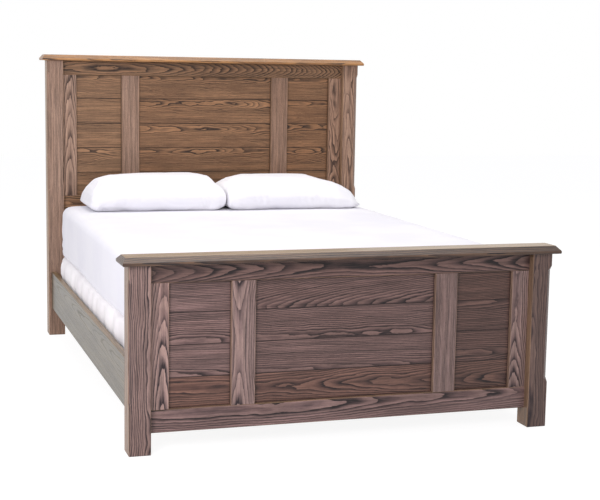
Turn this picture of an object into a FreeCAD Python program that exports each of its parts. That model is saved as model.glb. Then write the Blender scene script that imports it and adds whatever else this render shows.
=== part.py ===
# Panel bed, queen size, in oak: a headboard and a footboard, each a frame of posts, rails,
# stiles and mullions round three flat board panels under a bevelled cap. Two side rails hook
# onto the posts and carry slats, a foundation, a mattress in its sheet and two pillows.
# X runs across the bed, Y from the foot to the head, Z up. The origin is on the floor, under
# the middle of the bed. Sizes are in millimetres.
import FreeCAD
import Part
import Sketcher
import math
import os
import re

doc = FreeCAD.newDocument("PanelBed")
sheet = doc.addObject("Spreadsheet::Sheet", "Sizes")

sizes = {
    # the mattress and its room in the frame
    "mattress_width": 1524,
    "mattress_length": 2032,
    "mattress_side_gap": 19,  # to each side rail
    "mattress_end_gap": 36,  # to the posts at each end
    # posts
    "post_width": 80,
    "post_depth": 86,
    "foot_post_height": 682,
    "head_post_height": 1385,
    "post_arris": 2,
    "bevel_width": 16,  # stopped bevel on each post's outer front corner
    "bevel_run_out": 20,
    "bevel_top_gap": 46,
    "bevel_foot_gap": 18,  # above the bottom rail
    # frames between the posts
    "frame_setback": 32,
    "frame_thickness": 38,
    "frame_arris": 1.5,
    "top_rail_height": 70,
    "foot_rail_height": 84,
    "foot_rail_base": 72,
    "head_rail_height": 200,
    "head_rail_base": 508,
    "stile_width": 70,
    "mullion_width": 90,
    "mullion_offset": 396,  # each side of the middle
    "panel_thickness": 12,
    "panel_setback": 16,
    "foot_board_count": 4,
    "head_board_count": 5,
    "seam_width": 1.2,
    "seam_depth": 0.8,
    # joinery
    "groove_depth": 10,
    "groove_room": 1.5,
    "tenon_length": 45,
    "tenon_shoulder": 10,
    "joint_clearance": 0.1,
    "end_room": 2,  # past the end of a tenon, dowel or screw
    # caps
    "cap_overhang": 25,
    "cap_thickness": 29,
    "cap_nose": 11,
    "cap_bevel_run": 26,  # along the front and the back
    "cap_end_bevel_run": 14,
    "cap_nose_radius": 4,
    "dowel_radius": 5,
    "dowel_length": 36,
    "dowel_in_cap": 16,
    "dowel_setback": 24,
    # side rails
    "side_rail_height": 184,
    "side_rail_thickness": 25,
    "side_rail_base": 141,
    "side_rail_inset": 14,
    "side_rail_arris": 2,
    # hook plates in the rails' ends, slotted plates in the posts
    "plate_width": 16,
    "plate_height": 150,
    "plate_thickness": 3,
    "plate_screw_offset": 66,
    "hook_gauge": 3,
    "hook_count": 2,
    "hook_spacing": 62,
    "hook_start": 44,  # lowest neck, below the plate's middle
    "hook_neck": 12,
    "hook_drop": 12,
    "hook_nose": 5,
    "hook_play": 0.3,
    "slot_clearance": 0.5,
    # slats, their cleats and legs
    "cleat_width": 25,
    "cleat_height": 32,
    "cleat_end_gap": 5,
    "slat_count": 5,
    "slat_width": 90,
    "slat_thickness": 19,
    "slat_end_gap": 60,
    "slat_side_gap": 2,
    "slat_arris": 2,
    "leg_side": 45,
    # screws
    "screw_radius": 2,
    "screw_head_radius": 4,
    "screw_head_depth": 2.6,
    "plate_screw_length": 38,
    "cleat_screw_length": 40,
    "slat_screw_length": 40,
    "leg_screw_length": 70,
    # foundation, mattress and sheet
    "mattress_height": 254,
    "foundation_height": 224,
    "mattress_corner": 75,
    "mattress_roll": 42,
    "mattress_crown": 9,
    "mattress_crown_run": 90,
    "foundation_roll": 22,
    "cover_hem": 13,  # the cover's lower edge, above the foundation's underside
    "cover_fold_count": 7,  # on each long side
    "cover_fold_depth": 9,
    "sheet_thickness": 1.5,
    "sheet_hem": 6,  # the sheet's lower edge, tucked round the mattress's underside
    "soft_gap": 0.3,
    # pillows
    "left_pillow_length": 667,
    "left_pillow_height": 160,
    "left_pillow_head_gap": 1,  # to the mattress's end
    "right_pillow_length": 711,
    "right_pillow_height": 151,
    "right_pillow_head_gap": 18,
    "pillow_depth": 450,
    "pillow_seam_height": 65,
    "pillow_under": 58,
    "pillow_draw_in": 10,
    "pillow_corner": 130,  # at the outer end
    "pillow_inner_corner": 55,
    "pillow_mouth": 29,  # the flat open end of the case
    "pillow_blunt_end": 104,
    "pillow_gap": 2,
    "pillow_shift": -12,
}
for row, (name, value) in enumerate(sizes.items(), 1):
    sheet.set("A%d" % row, name)
    sheet.set("B%d" % row, str(value))
    sheet.setAlias("B%d" % row, name)
doc.recompute()


# ---- places that several pieces share, as formulas of the sheet ----

post_span = ("(mattress_width + 2 * mattress_side_gap + 2 * side_rail_thickness"
             " + 2 * side_rail_inset)")
frame_length = "(mattress_length + 2 * mattress_end_gap + 2 * post_depth)"
HEIGHT_OF_POST = {"foot": "foot_post_height", "head": "head_post_height"}
RAIL_HEIGHT = {"foot": "foot_rail_height", "head": "head_rail_height"}
RAIL_BASE = {"foot": "foot_rail_base", "head": "head_rail_base"}
BOARD_COUNT = {"foot": "foot_board_count", "head": "head_board_count"}
FRONT = {"foot": "(-%s / 2)" % frame_length, "head": "(%s / 2 - post_depth)" % frame_length}

post_middle = "(%s / 2 - post_width / 2)" % post_span
between_posts = "(%s - 2 * post_width)" % post_span
rail_run = "(mattress_length + 2 * mattress_end_gap)"
rail_inner = "(mattress_width / 2 + mattress_side_gap)"
rail_middle = "(mattress_width / 2 + mattress_side_gap + side_rail_thickness / 2)"
plate_level = "(side_rail_base + side_rail_height / 2)"
groove_width = "(panel_thickness + 2 * joint_clearance)"
panel_tongue = "(groove_depth - groove_room)"
slat_level = "(side_rail_base + cleat_height)"
slat_top = "(side_rail_base + cleat_height + slat_thickness)"
slat_pitch = "((%s - 2 * slat_end_gap - slat_width) / (slat_count - 1))" % rail_run
foundation_base = "(side_rail_base + cleat_height + slat_thickness + soft_gap)"
cover_top = "(%s + foundation_height + soft_gap + sheet_thickness)" % foundation_base
mattress_base = "(%s + soft_gap)" % cover_top
sheet_top = "(%s + mattress_height + soft_gap + sheet_thickness)" % mattress_base


def formula(words):
    """A formula written with the sheet's names, as the document reads it."""
    return re.sub(r"[a-z][a-z_]*", lambda found: "Sizes." + found.group(0), words)


def size(words):
    """The number that a formula gives."""
    return float(sheet.evalExpression(formula(str(words))))


def bind(thing, sizes_of):
    for name, words in sizes_of.items():
        thing.setExpression(name, formula(str(words)))


def place(thing, x, y, z):
    bind(thing, {"Placement.Base.x": x, "Placement.Base.y": y, "Placement.Base.z": z})


# ---- features used by many pieces ----

pieces = []
TURN_TO = {
    "+X": FreeCAD.Rotation(FreeCAD.Vector(0, 1, 0), 90),
    "-X": FreeCAD.Rotation(FreeCAD.Vector(0, 1, 0), -90),
    "+Y": FreeCAD.Rotation(FreeCAD.Vector(1, 0, 0), -90),
    "-Y": FreeCAD.Rotation(FreeCAD.Vector(1, 0, 0), 90),
    "+Z": FreeCAD.Rotation(),
    "-Z": FreeCAD.Rotation(FreeCAD.Vector(1, 0, 0), 180),
}


def new_body(label):
    body = doc.addObject("PartDesign::Body", label)
    body.Label = label
    pieces.append(body)
    return body


def origin_of(body, role):
    return [item for item in body.Origin.OriginFeatures if item.Role == role][0]


def outline(body, name, role, corners, lift="0"):
    """A closed sketch of straight lines whose corners stand at formulas."""
    sketch = body.newObject("Sketcher::SketchObject", name)
    sketch.AttachmentSupport = [(origin_of(body, role), "")]
    sketch.MapMode = "FlatFace"
    bind(sketch, {"AttachmentOffset.Base.z": lift})
    spots = [FreeCAD.Vector(size(x), size(y), 0) for x, y in corners]
    for number, spot in enumerate(spots):
        following = spots[(number + 1) % len(spots)]
        sketch.addGeometry(Part.LineSegment(spot, following), False)
    for number in range(len(spots)):
        joined = (number + 1) % len(spots)
        sketch.addConstraint(Sketcher.Constraint("Coincident", number, 2, joined, 1))
    for number, (x, y) in enumerate(corners):
        across = Sketcher.Constraint("DistanceX", -1, 1, number, 1, spots[number].x)
        along = Sketcher.Constraint("DistanceY", -1, 1, number, 1, spots[number].y)
        bind(sketch, {"Constraints[%d]" % sketch.addConstraint(across): x})
        bind(sketch, {"Constraints[%d]" % sketch.addConstraint(along): y})
    return sketch


def rectangle(body, name, role, low, high, lift="0"):
    (x0, y0), (x1, y1) = low, high
    return outline(body, name, role, [(x0, y0), (x1, y0), (x1, y1), (x0, y1)], lift)


def pad(body, name, sketch, length, side="One side", backwards=False):
    feature = body.newObject("PartDesign::Pad", name)
    feature.Profile = sketch
    feature.SideType = side
    feature.Reversed = backwards
    bind(feature, {"Length": length})
    return feature


def pocket_through(body, name, sketch, length):
    feature = body.newObject("PartDesign::Pocket", name)
    feature.Profile = sketch
    feature.SideType = "Symmetric"
    bind(feature, {"Length": length})
    return feature


def cut_box(body, name, low, lengths):
    """A rectangular mortise, recess or slot, from its lowest corner."""
    feature = body.newObject("PartDesign::SubtractiveBox", name)
    bind(feature, dict(zip(("Length", "Width", "Height"), lengths)))
    place(feature, *low)
    return feature


def drill(body, name, spot, drive, depth, radius="(screw_radius + joint_clearance)"):
    feature = body.newObject("PartDesign::SubtractiveCylinder", name)
    feature.Placement = FreeCAD.Placement(FreeCAD.Vector(), TURN_TO[drive])
    bind(feature, {"Radius": radius, "Height": depth})
    place(feature, *spot)
    return feature


def countersink(body, name, spot, drive):
    feature = body.newObject("PartDesign::SubtractiveCone", name)
    feature.Placement = FreeCAD.Placement(FreeCAD.Vector(), TURN_TO[drive])
    bind(feature, {
        "Radius1": "screw_head_radius + joint_clearance",
        "Radius2": "screw_radius + joint_clearance",
        "Height": "screw_head_depth + joint_clearance",
    })
    place(feature, *spot)
    return feature


def repeat(body, name, originals, axis, length, count):
    feature = body.newObject("PartDesign::LinearPattern", name)
    feature.Originals = originals
    feature.Direction = (origin_of(body, axis), [""])
    bind(feature, {"Length": length, "Occurrences": count})
    body.Tip = feature
    return feature


def ease(body, name, kind, amount, wanted):
    """A chamfer or a fillet on the edges of the body's shape that the test picks."""
    doc.recompute()
    base = body.Tip
    picked = ["Edge%d" % number for number, edge in enumerate(base.Shape.Edges, 1) if wanted(edge)]
    feature = body.newObject(kind, name)
    feature.Base = (base, picked)
    bind(feature, {"Size" if kind.endswith("Chamfer") else "Radius": amount})
    return feature


def is_upright(edge):
    box = edge.BoundBox
    return box.ZLength > 1 and box.XLength < 0.001 and box.YLength < 0.001


def screw_group(label, spots, drive_of, length):
    """Countersunk wood screws, one solid each, with their heads at the given spots."""
    shank, head, depth = size("screw_radius"), size("screw_head_radius"), size("screw_head_depth")
    screws = []
    for spot in spots:
        profile = [(0, 0), (head, 0), (shank, depth), (shank, size(length)), (0, size(length)), (0, 0)]
        outline_wire = Part.makePolygon([FreeCAD.Vector(x, 0, z) for x, z in profile])
        screw = Part.Face(outline_wire).revolve(FreeCAD.Vector(), FreeCAD.Vector(0, 0, 1), 360)
        position = FreeCAD.Vector(*(size(words) for words in spot))
        screw.Placement = FreeCAD.Placement(position, TURN_TO[drive_of(position)])
        screws.append(screw)
    group = doc.addObject("Part::Feature", label)
    group.Shape = Part.makeCompound(screws)
    group.Label = label
    pieces.append(group)
    return group


# ---- posts ----


def make_post(end, side, sign):
    """Origin at the middle of the post's foot in X and at its front face in Y."""
    body = new_body("%s_post_%s" % (end, side))
    height = HEIGHT_OF_POST[end]
    stock = rectangle(body, "Stock", "XY_Plane", ("-post_width / 2", 0),
                      ("post_width / 2", "post_depth"))
    pad(body, "Post", stock, height)
    ease(body, "Arrises", "PartDesign::Chamfer", "post_arris",
         lambda edge: is_upright(edge) or edge.BoundBox.ZMax < 0.001)
    cut_stopped_bevel(body, end, sign)
    for rail, base, tall in (("Top", height + " - top_rail_height", "top_rail_height"),
                             ("Bottom", RAIL_BASE[end], RAIL_HEIGHT[end])):
        deep = "(tenon_length + end_room)"
        inner = "-post_width / 2" if sign > 0 else "post_width / 2 - " + deep
        corner = (inner, "frame_setback + panel_setback", base + " + tenon_shoulder - joint_clearance")
        cut_box(body, rail + "RailMortise", corner,
                (deep, groove_width, "%s - 2 * tenon_shoulder + 2 * joint_clearance" % tall))
    cut_strike_recess(body, end, sign)
    drill(body, "DowelHole", (0, "dowel_setback", height), "-Z",
          "dowel_length - dowel_in_cap + end_room", "(dowel_radius + joint_clearance)")
    place(body, "%d * %s" % (sign, post_middle), FRONT[end], 0)


def cut_stopped_bevel(body, end, sign):
    """A bevel that runs out to the sharp corner at both ends, cut square to the corner."""
    low = "(%s + %s + bevel_foot_gap)" % (RAIL_BASE[end], RAIL_HEIGHT[end])
    high = "(%s - bevel_top_gap)" % HEIGHT_OF_POST[end]
    deep = "bevel_width / 1.41421356"
    corners = [("-post_arris", low), (0, low), (deep, low + " + bevel_run_out"),
               (deep, high + " - bevel_run_out"), (0, high), ("-post_arris", high)]
    sketch = outline(body, "BevelOutline", "XZ_Plane", corners)
    turn = 135 if sign > 0 else 45
    sketch.AttachmentOffset = FreeCAD.Placement(
        FreeCAD.Vector(), FreeCAD.Rotation(FreeCAD.Vector(0, 1, 0), turn))
    bind(sketch, {"AttachmentOffset.Base.x": "%d * post_width / 2" % sign})
    pocket_through(body, "StoppedBevel", sketch, "4 * post_width")


def cut_strike_recess(body, end, sign):
    """Room for the slotted plate, flush in the face that the side rail meets, and its hooks."""
    middle = "(%d * (post_width / 2 - side_rail_inset - side_rail_thickness / 2))" % sign
    deep = "(hook_play + hook_nose + end_room)"
    drive = "-Y" if end == "foot" else "+Y"
    face = "post_depth" if end == "foot" else "0"
    plate_near = "post_depth - plate_thickness" if end == "foot" else "0"
    room_near = "post_depth - plate_thickness - " + deep if end == "foot" else "plate_thickness"
    half = "(plate_width / 2 + joint_clearance)"
    tall = "(plate_height / 2 + joint_clearance)"
    cut_box(body, "PlateRecess", (middle + " - " + half, plate_near, plate_level + " - " + tall),
            ("2 * " + half, "plate_thickness", "2 * " + tall))
    wide = "(hook_gauge / 2 + slot_clearance + joint_clearance)"
    low = "(%s - hook_start - hook_drop - end_room)" % plate_level
    rise = "(hook_spacing * (hook_count - 1) + hook_neck + 2 * hook_drop + 2 * end_room)"
    cut_box(body, "HookRoom", (middle + " - " + wide, room_near, low), ("2 * " + wide, deep, rise))
    for name, level in (("Lower", "-"), ("Upper", "+")):
        spot = (middle, face, "%s %s plate_screw_offset" % (plate_level, level))
        drill(body, name + "Pilot", spot, drive, "plate_screw_length + end_room")


# ---- rails, stiles, mullions and panels ----


def rail_corners(height, groove):
    """The rail's section in Y and Z, with a groove along its lower or upper edge."""
    near, far = "panel_setback", "panel_setback + " + groove_width
    below = [(near, 0), (near, "groove_depth"), (far, "groove_depth"), (far, 0)]
    above = [(far, height), (far, height + " - groove_depth"),
             (near, height + " - groove_depth"), (near, height)]
    return ([("frame_arris", 0)] + (below if groove == "below" else [])
            + [("frame_thickness - frame_arris", 0), ("frame_thickness", "frame_arris"),
               ("frame_thickness", height + " - frame_arris"),
               ("frame_thickness - frame_arris", height)]
            + (above if groove == "above" else [])
            + [("frame_arris", height), (0, height + " - frame_arris"), (0, "frame_arris")])


def make_rail(end, which, height, base, groove):
    """A rail between the posts' inner faces, with a tenon at each end, in line with the groove."""
    body = new_body("%s_%s_rail" % (end, which))
    section = outline(body, "Section", "YZ_Plane", rail_corners(height, groove))
    pad(body, "Rail", section, between_posts, "Symmetric")
    near = "panel_setback + joint_clearance"
    tenon = rectangle(body, "TenonSection", "YZ_Plane", (near, "tenon_shoulder"),
                      (near + " + panel_thickness", height + " - tenon_shoulder"))
    pad(body, "Tenons", tenon, between_posts + " + 2 * tenon_length", "Symmetric")
    if which == "top":
        for name, sign in (("Left", "-"), ("Right", "")):
            drill(body, name + "DowelHole", (sign + "mullion_offset", "frame_thickness / 2", height),
                  "-Z", "dowel_length - dowel_in_cap + end_room", "(dowel_radius + joint_clearance)")
    place(body, 0, FRONT[end] + " + frame_setback", base)


def upright_corners(width, left_groove, right_groove):
    """The section of a stile or mullion in X and Y."""
    near, far = "panel_setback", "panel_setback + " + groove_width
    edge = width + " / 2"
    right = [(edge, near), (edge + " - groove_depth", near), (edge + " - groove_depth", far), (edge, far)]
    left = [("-%s" % edge, far), ("-%s + groove_depth" % edge, far),
            ("-%s + groove_depth" % edge, near), ("-%s" % edge, near)]
    return ([("-%s + frame_arris" % edge, 0), (edge + " - frame_arris", 0), (edge, "frame_arris")]
            + (right if right_groove else [])
            + [(edge, "frame_thickness - frame_arris"), (edge + " - frame_arris", "frame_thickness"),
               ("-%s + frame_arris" % edge, "frame_thickness"),
               ("-%s" % edge, "frame_thickness - frame_arris")]
            + (left if left_groove else [])
            + [("-%s" % edge, "frame_arris")])


def make_upright(end, label, width, x, left_groove, right_groove):
    """A stile or mullion between the rails, with a stub tenon in each rail's groove."""
    body = new_body("%s_%s" % (end, label))
    section = outline(body, "Section", "XY_Plane", upright_corners(width, left_groove, right_groove))
    base = "(%s + %s)" % (RAIL_BASE[end], RAIL_HEIGHT[end])
    tall = "(%s - top_rail_height - %s)" % (HEIGHT_OF_POST[end], base)
    pad(body, "Upright", section, tall)
    near = "panel_setback + joint_clearance"
    low_x = "-%s / 2%s" % (width, " + groove_depth" if left_groove else "")
    high_x = "%s / 2%s" % (width, " - groove_depth" if right_groove else "")
    stub = rectangle(body, "StubSection", "XY_Plane", (low_x, near), (high_x, near + " + panel_thickness"),
                     "-" + panel_tongue)
    pad(body, "Stubs", stub, "%s + 2 * %s" % (tall, panel_tongue))
    place(body, x, FRONT[end] + " + frame_setback", base)


def make_panel(end, label, x, bay):
    """A flat panel of boards laid across the bed, edge to edge, with a fine V at each seam."""
    body = new_body("%s_panel_%s" % (end, label))
    base = "(%s + %s - %s)" % (RAIL_BASE[end], RAIL_HEIGHT[end], panel_tongue)
    tall = "(%s - top_rail_height + %s - %s)" % (HEIGHT_OF_POST[end], panel_tongue, base)
    width = "(%s + 2 * %s)" % (bay, panel_tongue)
    stock = rectangle(body, "Stock", "XY_Plane", ("-%s / 2" % width, 0),
                      ("%s / 2" % width, "panel_thickness"))
    pad(body, "Panel", stock, tall)
    board = "(%s / %s)" % (tall, BOARD_COUNT[end])
    notches = [cut_seam(body, name, face, inwards, board, width)
               for name, face, inwards in (("Front", "0", 1), ("Back", "panel_thickness", -1))]
    repeat(body, "Seams", notches, "Z_Axis", "%s * (%s - 2)" % (board, BOARD_COUNT[end]),
           BOARD_COUNT[end] + " - 1")
    place(body, x, FRONT[end] + " + frame_setback + panel_setback + joint_clearance", base)


def cut_seam(body, name, face, inwards, level, width):
    corners = [(face, level + " - seam_width / 2"), (face, level + " + seam_width / 2"),
               ("%s + %d * seam_depth" % (face, inwards), level)]
    sketch = outline(body, name + "SeamOutline", "YZ_Plane", corners)
    return pocket_through(body, name + "Seam", sketch, "2 * " + width)


def make_end_frame(end):
    """The rails, stiles, mullions and panels of the footboard or the headboard."""
    make_rail(end, "top", "top_rail_height", HEIGHT_OF_POST[end] + " - top_rail_height", "below")
    make_rail(end, "bottom", RAIL_HEIGHT[end], RAIL_BASE[end], "above")
    stile_x = "(%s / 2 - stile_width / 2)" % between_posts
    make_upright(end, "stile_left", "stile_width", "-" + stile_x, False, True)
    make_upright(end, "stile_right", "stile_width", stile_x, True, False)
    make_upright(end, "mullion_left", "mullion_width", "-mullion_offset", True, True)
    make_upright(end, "mullion_right", "mullion_width", "mullion_offset", True, True)
    mullion_edge = "(mullion_offset + mullion_width / 2)"
    stile_edge = "(%s / 2 - stile_width)" % between_posts
    side_bay = "(%s - %s)" % (stile_edge, mullion_edge)
    side_x = "((%s + %s) / 2)" % (stile_edge, mullion_edge)
    make_panel(end, "left", "-" + side_x, side_bay)
    make_panel(end, "centre", 0, "(2 * mullion_offset - mullion_width)")
    make_panel(end, "right", side_x, side_bay)


# ---- caps and their dowels ----


def dowel_spots(end):
    """Where the cap's dowels stand: one in each post and two in the top rail."""
    post_y, rail_y = "dowel_setback", "frame_setback + frame_thickness / 2"
    return [("-" + post_middle, post_y), (post_middle, post_y),
            ("-mullion_offset", rail_y), ("mullion_offset", rail_y)]


def make_cap(end):
    """A board with an upright nose and a bevel all round, steeper at its two ends."""
    body = new_body("%s_cap" % end)
    reach = "(%s / 2 + cap_overhang)" % post_span
    near, far = "-cap_overhang", "post_depth + cap_overhang"
    foot = rectangle(body, "FootOutline", "XY_Plane", ("-" + reach, near), (reach, far))
    pad(body, "Nose", foot, "cap_nose")
    lower = rectangle(body, "BevelFoot", "XY_Plane", ("-" + reach, near), (reach, far), "cap_nose")
    upper = rectangle(body, "BevelTop", "XY_Plane",
                      ("-%s + cap_end_bevel_run" % reach, near + " + cap_bevel_run"),
                      (reach + " - cap_end_bevel_run", far + " - cap_bevel_run"), "cap_thickness")
    bevel = body.newObject("PartDesign::AdditiveLoft", "Bevel")
    bevel.Profile = lower
    bevel.Sections = [upper]
    bevel.Ruled = True
    nose = size("cap_nose")
    ease(body, "NoseRounding", "PartDesign::Fillet", "cap_nose_radius",
         lambda edge: edge.BoundBox.ZLength < 0.001 and edge.BoundBox.ZMax < nose + 0.001)
    for number, (x, y) in enumerate(dowel_spots(end)):
        drill(body, "DowelHole%d" % number, (x, y, 0), "+Z", "dowel_in_cap + end_room",
              "(dowel_radius + joint_clearance)")
    place(body, 0, FRONT[end], HEIGHT_OF_POST[end])


def make_cap_dowels(end):
    dowels = []
    for number, (x, y) in enumerate(dowel_spots(end)):
        dowel = doc.addObject("Part::Cylinder", "%sDowel%d" % (end, number))
        bind(dowel, {"Radius": "dowel_radius", "Height": "dowel_length"})
        place(dowel, x, "%s + %s" % (FRONT[end], y), HEIGHT_OF_POST[end] + " - dowel_length + dowel_in_cap")
        dowels.append(dowel)
    group = doc.addObject("Part::Compound", "%s_cap_dowels" % end)
    group.Label = "%s_cap_dowels" % end
    group.Links = dowels
    pieces.append(group)


# ---- side rails with their fittings ----


def make_side_rail(side, sign):
    """Origin at the middle of the rail's length and thickness, at its lower edge."""
    body = new_body("side_rail_" + side)
    edge, tall, arris = "side_rail_thickness / 2", "side_rail_height", "side_rail_arris"
    corners = [("-%s + %s" % (edge, arris), 0), ("%s - %s" % (edge, arris), 0), (edge, arris),
               (edge, "%s - %s" % (tall, arris)), ("%s - %s" % (edge, arris), tall),
               ("-%s + %s" % (edge, arris), tall), ("-" + edge, "%s - %s" % (tall, arris)),
               ("-" + edge, arris)]
    section = outline(body, "Section", "XZ_Plane", corners)
    pad(body, "Rail", section, rail_run, "Symmetric")
    half = "(plate_width / 2 + joint_clearance)"
    high = "(plate_height / 2 + joint_clearance)"
    for end, low_y, face, drive in (("Foot", "-%s / 2" % rail_run, "-%s / 2" % rail_run, "+Y"),
                                    ("Head", rail_run + " / 2 - plate_thickness", rail_run + " / 2", "-Y")):
        cut_box(body, end + "PlateRecess", ("-" + half, low_y, "side_rail_height / 2 - " + high),
                ("2 * " + half, "plate_thickness", "2 * " + high))
        for name, level in (("Lower", "-"), ("Upper", "+")):
            spot = (0, face, "side_rail_height / 2 %s plate_screw_offset" % level)
            drill(body, end + name + "Pilot", spot, drive, "plate_screw_length + end_room")
    inner = "%d * side_rail_thickness / 2" % -sign
    pilot = drill(body, "CleatPilot", (inner, first_cleat_screw, "cleat_height / 2"),
                  "+X" if sign > 0 else "-X", "cleat_screw_length - cleat_width + end_room")
    repeat(body, "CleatPilots", [pilot], "Y_Axis", cleat_screw_run, "slat_count - 1")
    place(body, "%d * %s" % (sign, rail_middle), 0, "side_rail_base")


# The cleats' screws stand midway between the slats.
first_cleat_screw = "(-%s * (slat_count - 2) / 2)" % slat_pitch
cleat_screw_run = "(%s * (slat_count - 2))" % slat_pitch


def make_plate(body, hook_plate):
    """The steel plate that both fittings share: its face is at Y = 0."""
    sketch = rectangle(body, "PlateOutline", "XZ_Plane", ("-plate_width / 2", "-plate_height / 2"),
                       ("plate_width / 2", "plate_height / 2"))
    pad(body, "Plate", sketch, "plate_thickness", backwards=hook_plate)
    drive = "+Y" if hook_plate else "-Y"
    for name, sign in (("Lower", "-"), ("Upper", "")):
        spot = (0, 0, sign + "plate_screw_offset")
        drill(body, name + "Hole", spot, drive, "plate_thickness + end_room")
        countersink(body, name + "Countersink", spot, drive)


def make_hook_plate(end, side, sign):
    """Let into the rail's end; its hooks drop behind the slotted plate in the post."""
    body = new_body("%s_hook_plate_%s" % (end, side))
    make_plate(body, True)
    neck_end, nose_end = "-(plate_thickness + hook_play)", "-(plate_thickness + hook_play + hook_nose)"
    corners = [("plate_thickness / 2", "-hook_start"), (neck_end, "-hook_start"),
               (neck_end, "-hook_start - hook_drop"), (nose_end, "-hook_start - hook_drop + hook_nose / 2"),
               (nose_end, "-hook_start + hook_neck - hook_nose / 2"),
               (neck_end, "-hook_start + hook_neck"), ("plate_thickness / 2", "-hook_start + hook_neck")]
    hook = outline(body, "HookOutline", "YZ_Plane", corners)
    hook_pad = pad(body, "Hook", hook, "hook_gauge", "Symmetric")
    repeat(body, "Hooks", [hook_pad], "Z_Axis", "hook_spacing * (hook_count - 1)", "hook_count")
    seat_plate(body, end, sign)


def make_strike_plate(end, side, sign):
    """The slotted plate, flush in the post's face."""
    body = new_body("%s_strike_plate_%s" % (end, side))
    make_plate(body, False)
    wide = "(hook_gauge / 2 + slot_clearance)"
    slot = cut_box(body, "Slot", ("-" + wide, "-plate_thickness", "-hook_start - slot_clearance"),
                   ("2 * " + wide, "plate_thickness", "hook_neck + hook_drop + 2 * slot_clearance"))
    repeat(body, "Slots", [slot], "Z_Axis", "hook_spacing * (hook_count - 1)", "hook_count")
    seat_plate(body, end, sign)


def seat_plate(body, end, sign):
    """Face on the joint between post and rail; the head's pair is the foot's turned half round."""
    if end == "head":
        body.Placement = FreeCAD.Placement(FreeCAD.Vector(), FreeCAD.Rotation(FreeCAD.Vector(0, 0, 1), 180))
    y = "-%s / 2" % rail_run if end == "foot" else rail_run + " / 2"
    place(body, "%d * %s" % (sign, rail_middle), y, plate_level)


def plate_screw_spots():
    return [("%d * %s" % (sign, rail_middle), "%d * %s / 2" % (end, rail_run),
             "%s + %d * plate_screw_offset" % (plate_level, level))
            for sign in (-1, 1) for end in (-1, 1) for level in (-1, 1)]


# ---- cleats, slats and centre legs ----


def make_cleat(side, sign):
    """A strip along the rail's inner face, flush with its lower edge, that the slats rest on."""
    body = new_body("slat_cleat_" + side)
    section = rectangle(body, "Section", "XZ_Plane", ("-cleat_width / 2", 0),
                        ("cleat_width / 2", "cleat_height"))
    pad(body, "Cleat", section, rail_run + " - 2 * cleat_end_gap", "Symmetric")
    drive = "+X" if sign > 0 else "-X"
    spot = ("%d * cleat_width / 2" % -sign, first_cleat_screw, "cleat_height / 2")
    hole = drill(body, "RailScrewHole", spot, drive, "cleat_width + end_room")
    sink = countersink(body, "RailScrewCountersink", spot, drive)
    repeat(body, "RailScrewHoles", [hole, sink], "Y_Axis", cleat_screw_run, "slat_count - 1")
    pilot = drill(body, "SlatPilot", (0, slat_y(0), "cleat_height"), "-Z",
                  "slat_screw_length - slat_thickness + end_room")
    repeat(body, "SlatPilots", [pilot], "Y_Axis", "%s * (slat_count - 1)" % slat_pitch, "slat_count")
    place(body, "%d * (%s - cleat_width / 2)" % (sign, rail_inner), 0, "side_rail_base")


def slat_y(number):
    return "(%d * %s - %s * (slat_count - 1) / 2)" % (number, slat_pitch, slat_pitch)


def make_slat(number, has_leg):
    body = new_body("slat_%d" % (number + 1))
    edge, arris, thick = "slat_width / 2", "slat_arris", "slat_thickness"
    corners = [("-" + edge, 0), (edge, 0), (edge, "%s - %s" % (thick, arris)),
               ("%s - %s" % (edge, arris), thick), ("-%s + %s" % (edge, arris), thick),
               ("-" + edge, "%s - %s" % (thick, arris))]
    section = outline(body, "Section", "YZ_Plane", corners)
    pad(body, "Slat", section, "2 * (%s - slat_side_gap)" % rail_inner, "Symmetric")
    for name, sign in (("Left", -1), ("Right", 1)):
        spot = ("%d * (%s - cleat_width / 2)" % (sign, rail_inner), 0, thick)
        drill(body, name + "Hole", spot, "-Z", thick + " + end_room")
        countersink(body, name + "Countersink", spot, "-Z")
    if has_leg:
        drill(body, "LegHole", (0, 0, thick), "-Z", thick + " + end_room")
        countersink(body, "LegCountersink", (0, 0, thick), "-Z")
    place(body, 0, slat_y(number), slat_level)


def make_leg(number):
    """A square leg from the floor to the underside of its slat."""
    body = new_body("centre_leg_%d" % number)
    half = "leg_side / 2"
    stock = rectangle(body, "Stock", "XY_Plane", ("-" + half, "-" + half), (half, half))
    pad(body, "Leg", stock, slat_level)
    ease(body, "Arrises", "PartDesign::Chamfer", "slat_arris",
         lambda edge: is_upright(edge) or edge.BoundBox.ZMax < 0.001)
    drill(body, "ScrewPilot", (0, 0, slat_level), "-Z", "leg_screw_length - slat_thickness + end_room")
    place(body, 0, slat_y(number), 0)


# ---- foundation, mattress, their covers and the pillows ----


def section_wire(length, width, corner, draw_in, height):
    """A closed outline of four sides and four rounded corners. The sides draw in by draw_in."""
    half_x, half_y = length / 2, width / 2
    slant = math.sqrt(0.5)
    edges = []
    for turn in range(4):
        a, b = (half_x, half_y) if turn % 2 == 0 else (half_y, half_x)
        start = FreeCAD.Vector(-a + corner, -b, 0)
        middle = FreeCAD.Vector(0, -b + draw_in, 0)
        stop = FreeCAD.Vector(a - corner, -b, 0)
        bend = FreeCAD.Vector(a - corner + corner * slant, -b + corner - corner * slant, 0)
        finish = FreeCAD.Vector(a, -b + corner, 0)
        side = Part.Arc(start, middle, stop) if draw_in > 0.05 else Part.LineSegment(start, stop)
        for curve in (side, Part.Arc(stop, bend, finish)):
            edge = curve.toShape()
            edge.rotate(FreeCAD.Vector(), FreeCAD.Vector(0, 0, 1), 90 * turn)
            edge.translate(FreeCAD.Vector(0, 0, height))
            edges.append(edge)
    return Part.Wire(edges)


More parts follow.
